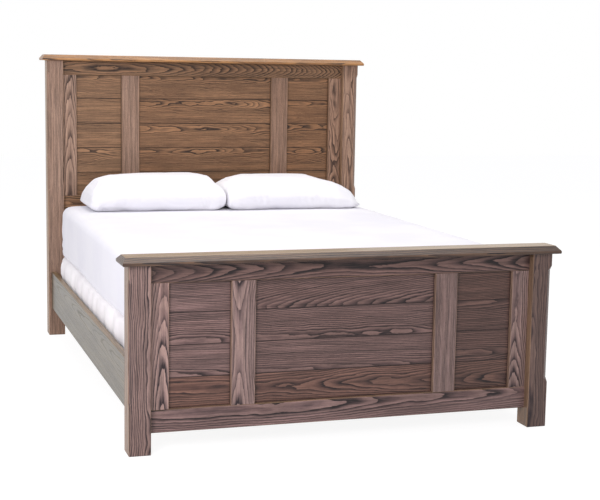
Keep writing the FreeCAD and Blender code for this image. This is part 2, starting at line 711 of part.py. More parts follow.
def rolled_block(length, width, height, corner, roll, crown, from_height=0.0):
    """A block whose upright corners are round and whose long edges roll over in a quarter round.
    The top rises by crown towards its middle. Straight bands join the outlines."""
    outlines = []
    steps = 3
    if from_height <= 0:
        for step in range(steps):
            angle = math.pi / 2 * step / steps
            inset = roll * (1 - math.sin(angle)) * 0.6
            outlines.append((inset, roll * (1 - math.cos(angle)) * 0.6))
        outlines.append((0.0, roll * 0.6))
    shoulder = height - crown
    if 0 < from_height < shoulder - roll - 1:
        outlines.append((0.0, from_height))
    for step in range(steps + 1):
        angle = math.pi / 2 * step / steps
        outlines.append((roll * (1 - math.cos(angle)), shoulder - roll + roll * math.sin(angle)))
    if crown > 0:
        outlines.append((roll + size("mattress_crown_run") / 2, height - crown * 0.3))
        outlines.append((roll + size("mattress_crown_run"), height))
    wires = []
    for inset, level in outlines:
        rounding = max(corner - inset, corner * 0.3)
        wires.append(section_wire(length - 2 * inset, width - 2 * inset, rounding, 0, level))
    return Part.makeLoft(wires, True, True)


def folded_wire(length, width, corner, fold_depth, height):
    """The block's outline with soft folds along its two long sides, which lie along Y."""
    half_x, half_y = length / 2, width / 2
    count = int(size("cover_fold_count"))
    reach = half_y - corner
    pitch = 2 * reach / count
    spots = [(-reach, 0.0)]
    for number in range(count):
        middle = -reach + (number + 0.5) * pitch + pitch * 0.12 * math.sin(2.4 * number)
        depth = fold_depth * (0.75 + 0.25 * math.cos(1.9 * number))
        spots += [(middle - pitch * 0.2, depth / 2), (middle, depth), (middle + pitch * 0.2, depth / 2)]
        if number < count - 1:
            spots.append((-reach + (number + 1) * pitch, 0.0))
    spots.append((reach, 0.0))
    edges = []
    plain = section_wire(length, width, corner, 0, 0).Edges
    for turn in (0, 180):
        points = [FreeCAD.Vector(half_x + out, along, 0) for along, out in spots]
        quarter = [points[0], (points[0] + points[1]) / 2 - FreeCAD.Vector(fold_depth / 12, 0, 0), points[1]]
        curves = [quarter] + [points[at:at + 3] for at in range(1, len(points) - 3, 2)]
        closing = (points[-2] + points[-1]) / 2 - FreeCAD.Vector(fold_depth / 12, 0, 0)
        curves.append([points[-2], closing, points[-1]])
        for start, middle, stop in curves:
            curve = Part.Arc(start, middle, stop) if fold_depth > 0.05 else Part.LineSegment(start, stop)
            edge = curve.toShape()
            edge.rotate(FreeCAD.Vector(), FreeCAD.Vector(0, 0, 1), turn)
            edges.append(edge)
    for edge in plain:
        box = edge.BoundBox
        if box.XLength > 0.001:
            edges.append(edge)
    wire = Part.Wire(Part.__sortEdges__(edges))
    wire.translate(FreeCAD.Vector(0, 0, height))
    return wire


def add_soft(label, shape, x, y, z):
    thing = doc.addObject("Part::Feature", label)
    thing.Shape = shape
    thing.Label = label
    thing.Placement = FreeCAD.Placement(FreeCAD.Vector(size(x), size(y), size(z)), FreeCAD.Rotation())
    pieces.append(thing)


def make_foundation():
    """The padded foundation, and its cover with soft folds along the sides."""
    length, width, corner = size("mattress_width"), size("mattress_length"), size("mattress_corner")
    height, roll, thick, gap = (size("foundation_height"), size("foundation_roll"),
                                size("sheet_thickness"), size("soft_gap"))
    hem, fold = size("cover_hem"), size("cover_fold_depth")
    block = rolled_block(length, width, height, corner, roll, 0)
    shells = []
    for out, drop in ((gap, hem), (gap + thick, 0)):
        sides = (length + 2 * out, width + 2 * out, corner + out)
        shoulder = height - roll
        outlines = [folded_wire(*sides, fold, hem - drop), folded_wire(*sides, fold, height * 0.6),
                    folded_wire(*sides, 0, shoulder)]
        skirt = Part.makeLoft(outlines, True, True)
        top = rolled_block(sides[0], sides[1], height + out, sides[2], roll + out, 0, shoulder)
        shells.append(skirt.fuse(top))
    add_soft("foundation", block, 0, 0, foundation_base)
    add_soft("foundation_cover", shells[1].cut(shells[0]), 0, 0, foundation_base)


def make_mattress():
    """The mattress and its fitted sheet, a thin cover drawn over its top and sides."""
    length, width, corner = size("mattress_width"), size("mattress_length"), size("mattress_corner")
    height, roll, crown = size("mattress_height"), size("mattress_roll"), size("mattress_crown")
    thick, gap = size("sheet_thickness"), size("soft_gap")
    block = rolled_block(length, width, height, corner, roll, crown)
    inner = rolled_block(length + 2 * gap, width + 2 * gap, height + gap, corner + gap, roll + gap, crown)
    outer = rolled_block(length + 2 * (gap + thick), width + 2 * (gap + thick), height + gap + thick,
                         corner + gap + thick, roll + gap + thick, crown)
    below_hem = Part.makeBox(2 * length, 2 * width, size("sheet_hem"), FreeCAD.Vector(-length, -width, 0))
    add_soft("mattress", block, 0, 0, mattress_base)
    add_soft("fitted_sheet", outer.cut(inner).cut(below_hem), 0, 0, mattress_base)


def pillow_section(x, width, under, base, seam, top, shoulder):
    """A slice across the pillow: flat below, round at its seams, crowned above."""
    half, slant = width / 2, math.sqrt(0.5)
    rise = top - seam

    def at(y, z):
        return FreeCAD.Vector(x, y, z)

    def side(sign):
        low = Part.Arc(at(sign * (half - under), base),
                       at(sign * (half - under * (1 - slant)), seam - (seam - base) * slant),
                       at(sign * half, seam))
        high = Part.Arc(at(sign * half, seam), at(sign * (half - shoulder * 0.134), seam + rise * 0.5),
                        at(sign * (half - shoulder * 0.5), seam + rise * 0.866))
        return low, high

    low_right, high_right = side(1)
    low_left, high_left = side(-1)
    crown = Part.Arc(high_right.EndPoint, at(0, top), high_left.EndPoint)
    bottom = Part.LineSegment(low_left.StartPoint, low_right.StartPoint)
    curves = (bottom, low_right, high_right, crown, high_left, low_left)
    return Part.Wire(Part.__sortEdges__([curve.toShape() for curve in curves]))


def quarter_round(distance, reach):
    """How far a quarter round of unit height has risen at a distance from its end."""
    if distance >= reach:
        return 1.0
    return math.sqrt(1 - (1 - distance / reach) ** 2)


def make_pillow(side, sign, open_ended):
    """A stuffed pillow in its case, lying flat. Its inner end is pressed blunt by its neighbour.
    Its outer end is round where the case is closed, and thin where the case is open."""
    length, height = size(side + "_pillow_length"), size(side + "_pillow_height")
    depth, seam, under = size("pillow_depth"), size("pillow_seam_height"), size("pillow_under")
    blunt, corner = size("pillow_blunt_end"), size("pillow_corner")
    mouth = size("pillow_mouth")
    wires = []
    for share in (0.0, 0.02, 0.075, 0.19, 0.35, 0.5, 0.65, 0.81, 0.925, 0.98, 1.0):
        outer, inner = share * length, (1 - share) * length
        width = depth - 2 * size("pillow_draw_in") * math.sin(math.pi * share)
        for distance, rounding in ((outer, corner), (inner, size("pillow_inner_corner"))):
            width -= 2 * rounding * (1 - quarter_round(distance + rounding * 0.12, rounding))
        if open_ended:
            from_middle = abs(2 * share - 1)
            top = mouth + (height - mouth) * (1 - from_middle ** 2.2) ** 0.75
            base = mouth * 0.15 * (1 - quarter_round(outer, corner))
        else:
            top = seam + 10 + (height - seam - 10) * quarter_round(outer, length * 0.36)
            base = (seam - 10) * (1 - quarter_round(outer, under))
        if share > 0.5:
            top = blunt + (height - blunt) * quarter_round(inner, length * 0.27)
            base = (seam - 30) * (1 - quarter_round(inner, under))
        level = min(seam, base + (top - base) * 0.45)
        tuck = under * (level - base) / seam
        wires.append(pillow_section(-sign * (share - 0.5) * length, width, tuck, base, level, top,
                                    depth * 0.44))
    shape = Part.makeLoft(wires, True, True)
    x = "%d * (%s_pillow_length / 2 + pillow_gap / 2) + pillow_shift" % (sign, side)
    y = "mattress_length / 2 - %s_pillow_head_gap - pillow_depth / 2" % side
    add_soft("pillow_" + side, shape, x, y, sheet_top + " + soft_gap")


# ---- the bed ----

SIDES = (("left", -1), ("right", 1))
for end in ("foot", "head"):
    for side, sign in SIDES:
        make_post(end, side, sign)
    make_end_frame(end)
    make_cap(end)
    make_cap_dowels(end)
for side, sign in SIDES:
    make_side_rail(side, sign)
    make_cleat(side, sign)
    for end in ("foot", "head"):
        make_hook_plate(end, side, sign)
        make_strike_plate(end, side, sign)
slat_total = int(size("slat_count"))
legged = range(1, slat_total - 1)
for number in range(slat_total):
    make_slat(number, number in legged)
for number in legged:
    make_leg(number)

# Screws: the hook plates' drive away from the joint's plane into the rails, the others' into
# the posts.
away = plate_screw_spots()
screw_group("hook_plate_screws", away, lambda at: "+Y" if at.y < 0 else "-Y", "plate_screw_length")
screw_group("strike_plate_screws", away, lambda at: "-Y" if at.y < 0 else "+Y", "plate_screw_length")
cleat_spots = [("%d * (%s - cleat_width)" % (sign, rail_inner),
                "%s + %d * %s" % (first_cleat_screw, number, slat_pitch),
                "side_rail_base + cleat_height / 2")
               for side, sign in SIDES for number in range(slat_total - 1)]
screw_group("cleat_screws", cleat_spots, lambda at: "+X" if at.x > 0 else "-X", "cleat_screw_length")
slat_spots = [("%d * (%s - cleat_width / 2)" % (sign, rail_inner), slat_y(number), slat_top)
              for side, sign in SIDES for number in range(slat_total)]
screw_group("slat_screws", slat_spots, lambda at: "-Z", "slat_screw_length")
screw_group("leg_screws", [(0, slat_y(number), slat_top) for number in legged], lambda at: "-Z",
            "leg_screw_length")

make_foundation()
make_mattress()
for side, sign in SIDES:
    make_pillow(side, sign, sign > 0)

# ---- checks, then the files ----

doc.recompute()
for thing in doc.Objects:
    if "Invalid" in thing.State or "Error" in thing.State:
        raise RuntimeError("%s failed: %s" % (thing.Label, thing.State))
    if thing.TypeId.startswith("PartDesign::Subtractive") or thing.TypeId == "PartDesign::Pocket":
        if thing.BaseFeature.Shape.Volume - thing.Shape.Volume < 0.01:
            raise RuntimeError("%s cuts nothing" % thing.Name)
os.makedirs("parts", exist_ok=True)
for piece in pieces:
    shape = piece.Shape
    if shape.isNull() or not shape.isValid():
        raise RuntimeError(piece.Label + " has no valid shape")
for piece in pieces:
    piece.Shape.exportStep("parts/%s.step" % piece.Label)
    box = piece.Shape.BoundBox
    print("%-22s solids %3d  X %8.1f %8.1f  Y %8.1f %8.1f  Z %8.1f %8.1f" % (
        piece.Label, len(piece.Shape.Solids), box.XMin, box.XMax, box.YMin, box.YMax, box.ZMin, box.ZMax))
print(len(pieces), "pieces")
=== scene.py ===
import math

import bmesh
import bpy
import numpy as np
from mathutils import Matrix, Vector


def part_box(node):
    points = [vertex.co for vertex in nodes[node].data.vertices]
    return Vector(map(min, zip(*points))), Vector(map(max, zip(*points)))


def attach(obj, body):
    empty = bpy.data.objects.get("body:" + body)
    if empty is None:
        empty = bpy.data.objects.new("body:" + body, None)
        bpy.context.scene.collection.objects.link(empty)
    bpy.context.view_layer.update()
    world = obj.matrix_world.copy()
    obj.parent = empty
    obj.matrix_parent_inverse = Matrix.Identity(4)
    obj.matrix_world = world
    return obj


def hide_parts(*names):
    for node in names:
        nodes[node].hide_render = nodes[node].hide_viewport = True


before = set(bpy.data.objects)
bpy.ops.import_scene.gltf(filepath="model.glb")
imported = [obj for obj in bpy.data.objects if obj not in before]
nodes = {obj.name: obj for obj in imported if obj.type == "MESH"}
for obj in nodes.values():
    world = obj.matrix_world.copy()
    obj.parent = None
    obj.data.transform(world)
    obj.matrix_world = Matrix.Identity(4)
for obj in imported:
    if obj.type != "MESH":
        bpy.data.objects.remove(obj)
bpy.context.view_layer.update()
scene = bpy.context.scene
scene.view_settings.view_transform = "Standard"


def lin(red, green, blue):
    # screen colour 0 to 255, to the linear value a shader takes
    parts = [part / 255 for part in (red, green, blue)]
    bent = [part / 12.92 if part <= 0.04045 else ((part + 0.055) / 1.055) ** 2.4 for part in parts]
    return (*bent, 1.0)


def addNode(tree, kind, *inputs, **settings):
    made = tree.nodes.new(kind)
    for name, value in settings.items():
        setattr(made, name, value)
    for place, value in enumerate(inputs):
        if value is None:
            continue
        if isinstance(value, bpy.types.NodeSocket):
            tree.links.new(value, made.inputs[place])
        else:
            made.inputs[place].default_value = value
    return made


def calc(tree, operation, *inputs):
    return addNode(tree, "ShaderNodeMath", *inputs, operation=operation).outputs[0]


def join3(tree, x, y, z):
    return addNode(tree, "ShaderNodeCombineXYZ", x, y, z).outputs[0]


def noise(tree, vector, scale, detail=2.0, roughness=0.5):
    made = addNode(tree, "ShaderNodeTexNoise", vector)
    made.inputs["Scale"].default_value = scale
    made.inputs["Detail"].default_value = detail
    made.inputs["Roughness"].default_value = roughness
    return made.outputs[0]


def span(tree, value, low, high, outLow=0.0, outHigh=1.0, smooth=True):
    made = addNode(tree, "ShaderNodeMapRange", value, low, high, outLow, outHigh)
    made.interpolation_type = "SMOOTHSTEP" if smooth else "LINEAR"
    return made.outputs[0]


def blendColour(tree, amount, first, second, mode="MIX"):
    made = tree.nodes.new("ShaderNodeMix")
    made.data_type = "RGBA"
    made.blend_type = mode
    for place, value in ((0, amount), (6, first), (7, second)):
        if isinstance(value, bpy.types.NodeSocket):
            tree.links.new(value, made.inputs[place])
        else:
            made.inputs[place].default_value = value
    return made.outputs[2]


def newMaterial(name):
    material = bpy.data.materials.new(name)
    material.use_nodes = True
    tree = material.node_tree
    tree.nodes.clear()
    output = tree.nodes.new("ShaderNodeOutputMaterial")
    shader = tree.nodes.new("ShaderNodeBsdfPrincipled")
    tree.links.new(shader.outputs[0], output.inputs[0])
    return material, tree, shader


def putOn(piece, material):
    piece.data.materials.clear()
    piece.data.materials.append(material)


# Glazed oak. A board's growth rings are cylinders round a wandering pith line. Where the face runs
# past the pith they show as nested arches, and beside it as straight lines.
# ring number = (distance from the pith line + rise along the board) / ring gap
# rise = slope * along + bend * along squared + warp * slow noise
boardKeys = ("pithOffset", "pithDepth", "slope", "bend", "warp", "ringGap", "bright", "warm",
             "seed")

# each noise: cells per metre along and across the grain, detail, roughness
ringValues = {
    "wander": (1.4, 0.0, 1.0), "swell": (3.0, 7.0, 3.0), "ripple": (9.0, 55.0, 3.0, 0.6),
    "streak": (12.0, 330.0, 3.0, 0.65), "pores": (60.0, 1150.0, 1.0),
    "fibre": (5.0, 150.0, 4.0, 0.75), "broadFibre": (1.7, 45.0, 2.0, 0.6),
    "cloud": (2.6, 9.0, 3.0, 0.55),
    "wanderReach": 0.03, "rippleReach": 0.005,  # metres
    "zoneStep": 0.3,  # zones of strong and weak rings, in cells per ring
    "porousShare": 0.16, "porousByZone": 0.14, "porousByChance": 0.22,
    "force": 0.3, "forceByZone": 0.6, "forceByChance": 0.55,
}


def makeRingGroup(values):
    group = bpy.data.node_groups.new("growthRings", "ShaderNodeTree")
    face = group.interface
    face.new_socket("Vector", in_out="INPUT", socket_type="NodeSocketVector")
    for name in boardKeys:
        face.new_socket(name, in_out="INPUT", socket_type="NodeSocketFloat")
    for name in ("lines", "late", "pores", "fibre", "cloud"):
        face.new_socket(name, in_out="OUTPUT", socket_type="NodeSocketFloat")
    given = group.nodes.new("NodeGroupInput").outputs
    along, across, deep = addNode(group, "ShaderNodeSeparateXYZ", given["Vector"]).outputs
    seed = given["seed"]

    def reckon(operation, *inputs):
        return calc(group, operation, *inputs)

    def grainNoise(kind):
        perAlong, perAcross, *others = values[kind]
        at = join3(group, reckon("MULTIPLY_ADD", along, perAlong, seed),
                   reckon("MULTIPLY_ADD", across, perAcross, seed),
                   reckon("MULTIPLY", deep, perAcross))
        return noise(group, at, 1.0, *others)

    wanderReach, rippleReach = values["wanderReach"], values["rippleReach"]
    wander = reckon("MULTIPLY_ADD", grainNoise("wander"), wanderReach, -wanderReach / 2)
    swell = reckon("MULTIPLY", reckon("ADD", grainNoise("swell"), -0.5), given["warp"])
    ripple = reckon("MULTIPLY_ADD", grainNoise("ripple"), rippleReach, -rippleReach / 2)
    side = reckon("SUBTRACT", reckon("SUBTRACT", across, given["pithOffset"]), wander)
    depth = reckon("ADD", deep, given["pithDepth"])
    square = reckon("MULTIPLY_ADD", side, side, reckon("MULTIPLY", depth, depth))
    radius = reckon("SQRT", square)
    rise = reckon("MULTIPLY_ADD", reckon("MULTIPLY", along, along), given["bend"], ripple)
    rise = reckon("MULTIPLY_ADD", along, given["slope"], rise)
    radius = reckon("ADD", reckon("ADD", radius, swell), rise)
    phase = reckon("DIVIDE", radius, given["ringGap"])
    ring = reckon("ADD", reckon("FLOOR", phase), seed)
    chance = addNode(group, "ShaderNodeTexWhiteNoise", None, ring, noise_dimensions="1D").outputs[0]
    zoneAt = join3(group, reckon("MULTIPLY", phase, values["zoneStep"]), seed, 0.0)
    zone = span(group, noise(group, zoneAt, 1.0, 1.0), 0.36, 0.64)
    within = reckon("FRACT", phase)

    # the porous early wood takes the glaze: dark at once where a ring starts, then fading
    width = reckon("MULTIPLY_ADD", zone, values["porousByZone"], values["porousShare"])
    width = reckon("MULTIPLY_ADD", chance, values["porousByChance"], width)
    early = addNode(group, "ShaderNodeMapRange", within, 0.05, width, 1.0, 0.0).outputs[0]
    early = reckon("MAXIMUM", early, span(group, within, 0.95, 1.0, 0.0, 1.0))
    force = reckon("MULTIPLY_ADD", zone, values["forceByZone"], values["force"])
    force = reckon("MULTIPLY_ADD", chance, values["forceByChance"], force)
    streak = span(group, grainNoise("streak"), 0.3, 0.62, 0.35, 1.25, smooth=False)
    lines = reckon("MULTIPLY", reckon("MULTIPLY", early, force), streak)
    lines = addNode(group, "ShaderNodeClamp", lines).outputs[0]
    late = reckon("MULTIPLY", span(group, within, 0.3, 0.75), span(group, within, 1.0, 0.94))
    pores = span(group, grainNoise("pores"), 0.55, 0.7)
    fibre = reckon("MULTIPLY_ADD", grainNoise("fibre"), 0.65,
                  reckon("MULTIPLY", grainNoise("broadFibre"), 0.35))
    made = group.nodes.new("NodeGroupOutput")
    for place, value in enumerate((lines, late, pores, fibre, grainNoise("cloud"))):
        group.links.new(value, made.inputs[place])
    return group


ringGroup = makeRingGroup(ringValues)

# which of X, Y, Z runs along the grain, across the board and into it
grainAxes = {"X": (0, 2, 1), "Y": (1, 2, 0), "Z": (2, 0, 1), "flat": (0, 1, 2)}

# a row table keeps each value as a share of its range
tableRanges = {
    "pithOffset": (-0.15, 0.15), "pithDepth": (0.0, 0.15), "slope": (-0.3, 0.3),
    "bend": (-1.0, 1.0), "warp": (0.0, 0.06), "ringGap": (0.002, 0.014), "bright": (0.4, 1.6),
    "warm": (0.0, 1.0),
}


def rangeShare(kind, value):
    low, high = tableRanges[kind]
    return (value - low) / (high - low)


def rowTable(tree, share, rows):
    # one value of each kind per row, from two step ramps of four channels
    values = {}
    for first in (0, 4):
        kinds = list(tableRanges)[first:first + 4]
        ramp = addNode(tree, "ShaderNodeValToRGB", share)
        ramp.color_ramp.interpolation = "CONSTANT"
        stops = ramp.color_ramp.elements
        for number, row in enumerate(rows):
            stop = stops[number] if number < 2 else stops.new(0.5)  # a new ramp has two stops
            stop.position = number / len(rows)
            stop.color = [rangeShare(kind, row[kind]) for kind in kinds]
        channels = addNode(tree, "ShaderNodeSeparateColor", ramp.outputs[0]).outputs
        for kind, channel in zip(kinds, [*channels, ramp.outputs[1]]):
            low, high = tableRanges[kind]
            values[kind] = calc(tree, "MULTIPLY_ADD", channel, high - low, low)
    return values


# The glaze lies thicker in the seams between boards. The darkening round a panel's border is
# painted shade where the frame shadows the panel, with glaze pooled there too. The lighter tan
# along a board's arrises is a painted highlight, and on top of the footboard's cap a painted sheen.
# Distances are in metres.
glazeValues = {
    "seam": (0.0006, 0.0042, 0.75, 0.0), "panelBorderShade": (0.0085, 0.014, 0.7, 0.0),
    "arris": (0.0008, 0.0028), "topSheenDepth": (0.0008, 0.0002), "poreDark": 0.35,
    "lineRough": 0.14, "poreRough": 0.08, "poreDepth": 0.5, "depth": 0.0006, "rowSeed": 7.31,
}


def oakMaterial(name, kind, box, oneBoard=None, rows=None):
    # a single board, or rows of boards edge to edge from the lowest up
    material, tree, shader = newMaterial(name)
    axes = grainAxes[kind["grain"]]
    middle = [(low + high) / 2 for low, high in zip(*box)]
    middle[axes[2]] = box[0][axes[2]]
    half = (box[1][axes[1]] - box[0][axes[1]]) / 2
    place = addNode(tree, "ShaderNodeTexCoord").outputs["Object"]
    place = addNode(tree, "ShaderNodeVectorMath", place, tuple(middle), operation="SUBTRACT")
    parts = addNode(tree, "ShaderNodeSeparateXYZ", place.outputs[0]).outputs
    along, across, deep = (parts[axis] for axis in axes)
    if rows:
        share = span(tree, across, -half, half, smooth=False)
        step = calc(tree, "FLOOR", calc(tree, "MULTIPLY", share, float(len(rows))))
        pitch = 2 * half / len(rows)
        rowMiddle = calc(tree, "MULTIPLY_ADD", step, pitch, pitch / 2 - half)
        across = calc(tree, "SUBTRACT", across, rowMiddle)
        values = rowTable(tree, share, rows)
        values["seed"] = calc(tree, "MULTIPLY_ADD", step, glazeValues["rowSeed"], kind["seed"])
        half = pitch / 2
    else:
        values = {key: oneBoard[key] for key in boardKeys}
    rings = addNode(tree, "ShaderNodeGroup", node_tree=ringGroup)
    tree.links.new(join3(tree, along, across, deep), rings.inputs["Vector"])
    for key in boardKeys:
        if isinstance(values[key], bpy.types.NodeSocket):
            tree.links.new(values[key], rings.inputs[key])
        else:
            rings.inputs[key].default_value = values[key]
    lines, late, pores, fibre, cloud = rings.outputs

    colour = blendColour(tree, span(tree, cloud, 0.35, 0.65), kind["mid"], kind["mid2"])
    lateShare = calc(tree, "MULTIPLY", late, kind["lateAmount"])
    colour = blendColour(tree, lateShare, colour, kind["tan"])
    colour = blendColour(tree, values["warm"], colour, kind["warmTint"], "MULTIPLY")
    level = span(tree, fibre, 0.38, 0.6, 0.56, 1.34, smooth=False)
    level = calc(tree, "MULTIPLY", level, values["bright"])
    shade = addNode(tree, "ShaderNodeVectorMath", colour, operation="SCALE")
    tree.links.new(level, shade.inputs["Scale"])
    lineShare = calc(tree, "MULTIPLY", lines, kind["lineAmount"])
    colour = blendColour(tree, lineShare, shade.outputs[0], kind["dark"])
    poreShare = calc(tree, "MULTIPLY", pores, glazeValues["poreDark"])
    colour = blendColour(tree, poreShare, colour, kind["dark"])
    edge = calc(tree, "SUBTRACT", half, calc(tree, "ABSOLUTE", across))
    if rows:
        # darker in the seams between boards from the glaze, and round the panel's border with
        # painted shade cast by the frame
        seamGlazeAndBorderShade = span(tree, edge, *glazeValues["seam"])
        for axis in axes[:2]:
            reach = (box[1][axis] - box[0][axis]) / 2
            border = calc(tree, "SUBTRACT", reach, calc(tree, "ABSOLUTE", parts[axis]))
            border = span(tree, border, *glazeValues["panelBorderShade"])
            seamGlazeAndBorderShade = calc(tree, "MAXIMUM", seamGlazeAndBorderShade, border)
        colour = blendColour(tree, seamGlazeAndBorderShade, colour, kind["dark"])
    elif kind["topSheenColour"]:
        # lighter on the cap's flat top: a painted sheen of the top seen at a grazing angle
        top = box[1][axes[2]] - box[0][axes[2]]
        topBand = span(tree, deep, *(top - below for below in glazeValues["topSheenDepth"]))
        paintedSheen = calc(tree, "MULTIPLY", topBand, span(tree, fibre, 0.38, 0.6, 0.6, 1.0))
        colour = blendColour(tree, paintedSheen, colour, kind["topSheenColour"])
    elif kind["arrisHighlight"]:
        # lighter along the board's arrises: a painted highlight, in the pale tan of bare wood
        arrisHighlight = span(tree, edge, *glazeValues["arris"], kind["arrisHighlight"], 0.0)
        arrisHighlight = calc(tree, "MULTIPLY", arrisHighlight, span(tree, fibre, 0.4, 0.6, 0.4, 1.0))
        colour = blendColour(tree, arrisHighlight, colour, kind["bare"])
    tree.links.new(colour, shader.inputs["Base Color"])
    rough = calc(tree, "MULTIPLY_ADD", lines, glazeValues["lineRough"], kind["roughness"])
    rough = calc(tree, "MULTIPLY_ADD", pores, glazeValues["poreRough"], rough)
    tree.links.new(rough, shader.inputs["Roughness"])
    relief = calc(tree, "MULTIPLY_ADD", pores, glazeValues["poreDepth"], lines)
    bump = addNode(tree, "ShaderNodeBump", kind["relief"], glazeValues["depth"])
    bump.invert = True
    tree.links.new(relief, bump.inputs["Height"])
    tree.links.new(bump.outputs[0], shader.inputs["Normal"])
    shader.inputs["Specular IOR Level"].default_value = kind["gloss"]
    return material


# the pale tan of bare wood is laid along each board's arrises as a painted highlight
footOak = {
    "grain": "X", "seed": 3.0, "mid": lin(98, 77, 75), "mid2": lin(82, 62, 60),
    "tan": lin(140, 113, 106), "dark": lin(27, 18, 19), "warmTint": (1.0, 0.8, 0.62, 1.0),
    "bare": lin(178, 142, 98), "lateAmount": 0.45, "lineAmount": 1.0, "roughness": 0.36,
    "relief": 0.35, "arrisHighlight": 0.35, "gloss": 0.34, "topSheenColour": None,
}
headOak = dict(footOak, mid=lin(128, 98, 73), mid2=lin(104, 77, 56), tan=lin(172, 130, 94),
               dark=lin(36, 22, 15))
uprightFoot = dict(footOak, grain="Z", mid=lin(124, 102, 98), mid2=lin(108, 86, 82),
                   tan=lin(160, 134, 124), dark=lin(38, 27, 30))
uprightHead = dict(headOak, grain="Z", mid=lin(148, 120, 103), mid2=lin(132, 104, 87),
                   tan=lin(180, 149, 128), dark=lin(58, 40, 32))
# the foot cap: the lighter tan on its flat top is a painted sheen
footCapOak = dict(footOak, grain="flat", mid=lin(80, 60, 48), mid2=lin(66, 48, 38),
                  tan=lin(108, 84, 66), topSheenColour=lin(160, 138, 112), gloss=0.4, roughness=0.32,
                  arrisHighlight=0.0)
headCapOak = dict(headOak, grain="flat", mid=lin(158, 112, 66), mid2=lin(140, 97, 55),
                  tan=lin(182, 134, 82), arrisHighlight=0.0, gloss=0.5, roughness=0.3)
sideOak = dict(footOak, grain="Y", mid=lin(89, 78, 57), mid2=lin(78, 67, 48),
               tan=lin(104, 91, 68), dark=lin(52, 46, 32), lineAmount=0.2, lateAmount=0.15,
               gloss=0.45, roughness=0.3)
plainBoard = {"pithOffset": 0.0, "pithDepth": 0.06, "slope": 0.02, "bend": 0.0, "warp": 0.022,
              "ringGap": 0.0056, "bright": 1.0, "warm": 0.1, "seed": 1.0}


def board(pithOffset, pithDepth, slope=0.02, bend=0.0, **others):
    return dict(plainBoard, pithOffset=pithOffset, pithDepth=pithDepth, slope=slope, bend=bend,
                **others)


# each board's bright and warm hold its own tone and also painted shade: the boards on the right,
# away from the key light, are darker and warmer
boards = {
    "foot_post_left": (uprightFoot, board(
        0.042, 0.03, 0.012, warp=0.05, ringGap=0.0068, seed=4.2, bright=0.9)),
    "foot_post_right": (uprightFoot, board(
        -0.03, 0.035, 0.03, warp=0.05, ringGap=0.0068, seed=9.7, warm=0.35, bright=0.5)),
    "foot_stile_left": (uprightFoot, board(0.018, 0.045, 0.05, warp=0.012, seed=1.4, bright=1.24)),
    "foot_stile_right": (uprightFoot, board(
        -0.02, 0.045, 0.06, -0.14, seed=5.5, bright=0.98, warm=0.0)),
    "foot_mullion_left": (uprightFoot, board(
        -0.014, 0.045, 0.0, -0.24, ringGap=0.0068, seed=2.3, bright=1.06, warm=0.0)),
    "foot_mullion_right": (uprightFoot, board(
        0.13, 0.03, 0.0, warp=0.016, ringGap=0.0052, seed=7.1, bright=0.9, warm=0.05)),
    "foot_top_rail": (footOak, board(
        0.004, 0.045, 0.012, -0.075, warp=0.014, ringGap=0.0064, seed=11.3, warm=0.3, bright=0.86)),
    "foot_bottom_rail": (footOak, board(
        0.028, 0.045, 0.02, 0.02, warp=0.022, ringGap=0.0064, seed=14.9, bright=1.16, warm=0.0)),
    "head_post_left": (uprightHead, board(
        0.08, 0.05, 0.01, warp=0.016, ringGap=0.0052, seed=31.1, bright=1.06, warm=0.0)),
    "head_post_right": (uprightHead, board(
        0.0, 0.05, 0.02, warp=0.03, ringGap=0.0052, seed=33.8, warm=0.2)),
    "head_stile_left": (uprightHead, board(
        0.0, 0.045, 0.05, 0.03, warp=0.016, seed=37.0, bright=1.08, warm=0.0)),
    "head_stile_right": (uprightHead, board(
        0.004, 0.05, -0.02, warp=0.05, seed=39.6, bright=0.95, warm=0.4)),
    "head_mullion_left": (uprightHead, board(
        0.13, 0.04, 0.0, warp=0.016, ringGap=0.0042, seed=41.2)),
    "head_mullion_right": (uprightHead, board(
        -0.13, 0.04, 0.0, warp=0.016, ringGap=0.0042, seed=43.9, warm=0.3, bright=0.93)),
    "head_top_rail": (headOak, board(
        0.002, 0.06, 0.085, 0.08, warp=0.012, ringGap=0.0046, seed=45.5, bright=0.88)),
    "head_bottom_rail": (headOak, board(0.06, 0.05, 0.03, seed=48.7)),
    "foot_cap": (footCapOak, board(0.06, 0.02, 0.01, warp=0.008, seed=52.0)),
    "head_cap": (headCapOak, board(0.08, 0.02, 0.01, warp=0.008, seed=56.0)),
    "side_rail_left": (sideOak, board(0.05, 0.05, 0.02, warp=0.012, seed=61.0)),
    "side_rail_right": (sideOak, board(-0.04, 0.05, 0.02, warp=0.012, seed=66.0)),
}
for name, (kind, oneBoard) in boards.items():
    putOn(nodes[name], oakMaterial(name + "Oak", kind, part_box(name), oneBoard))
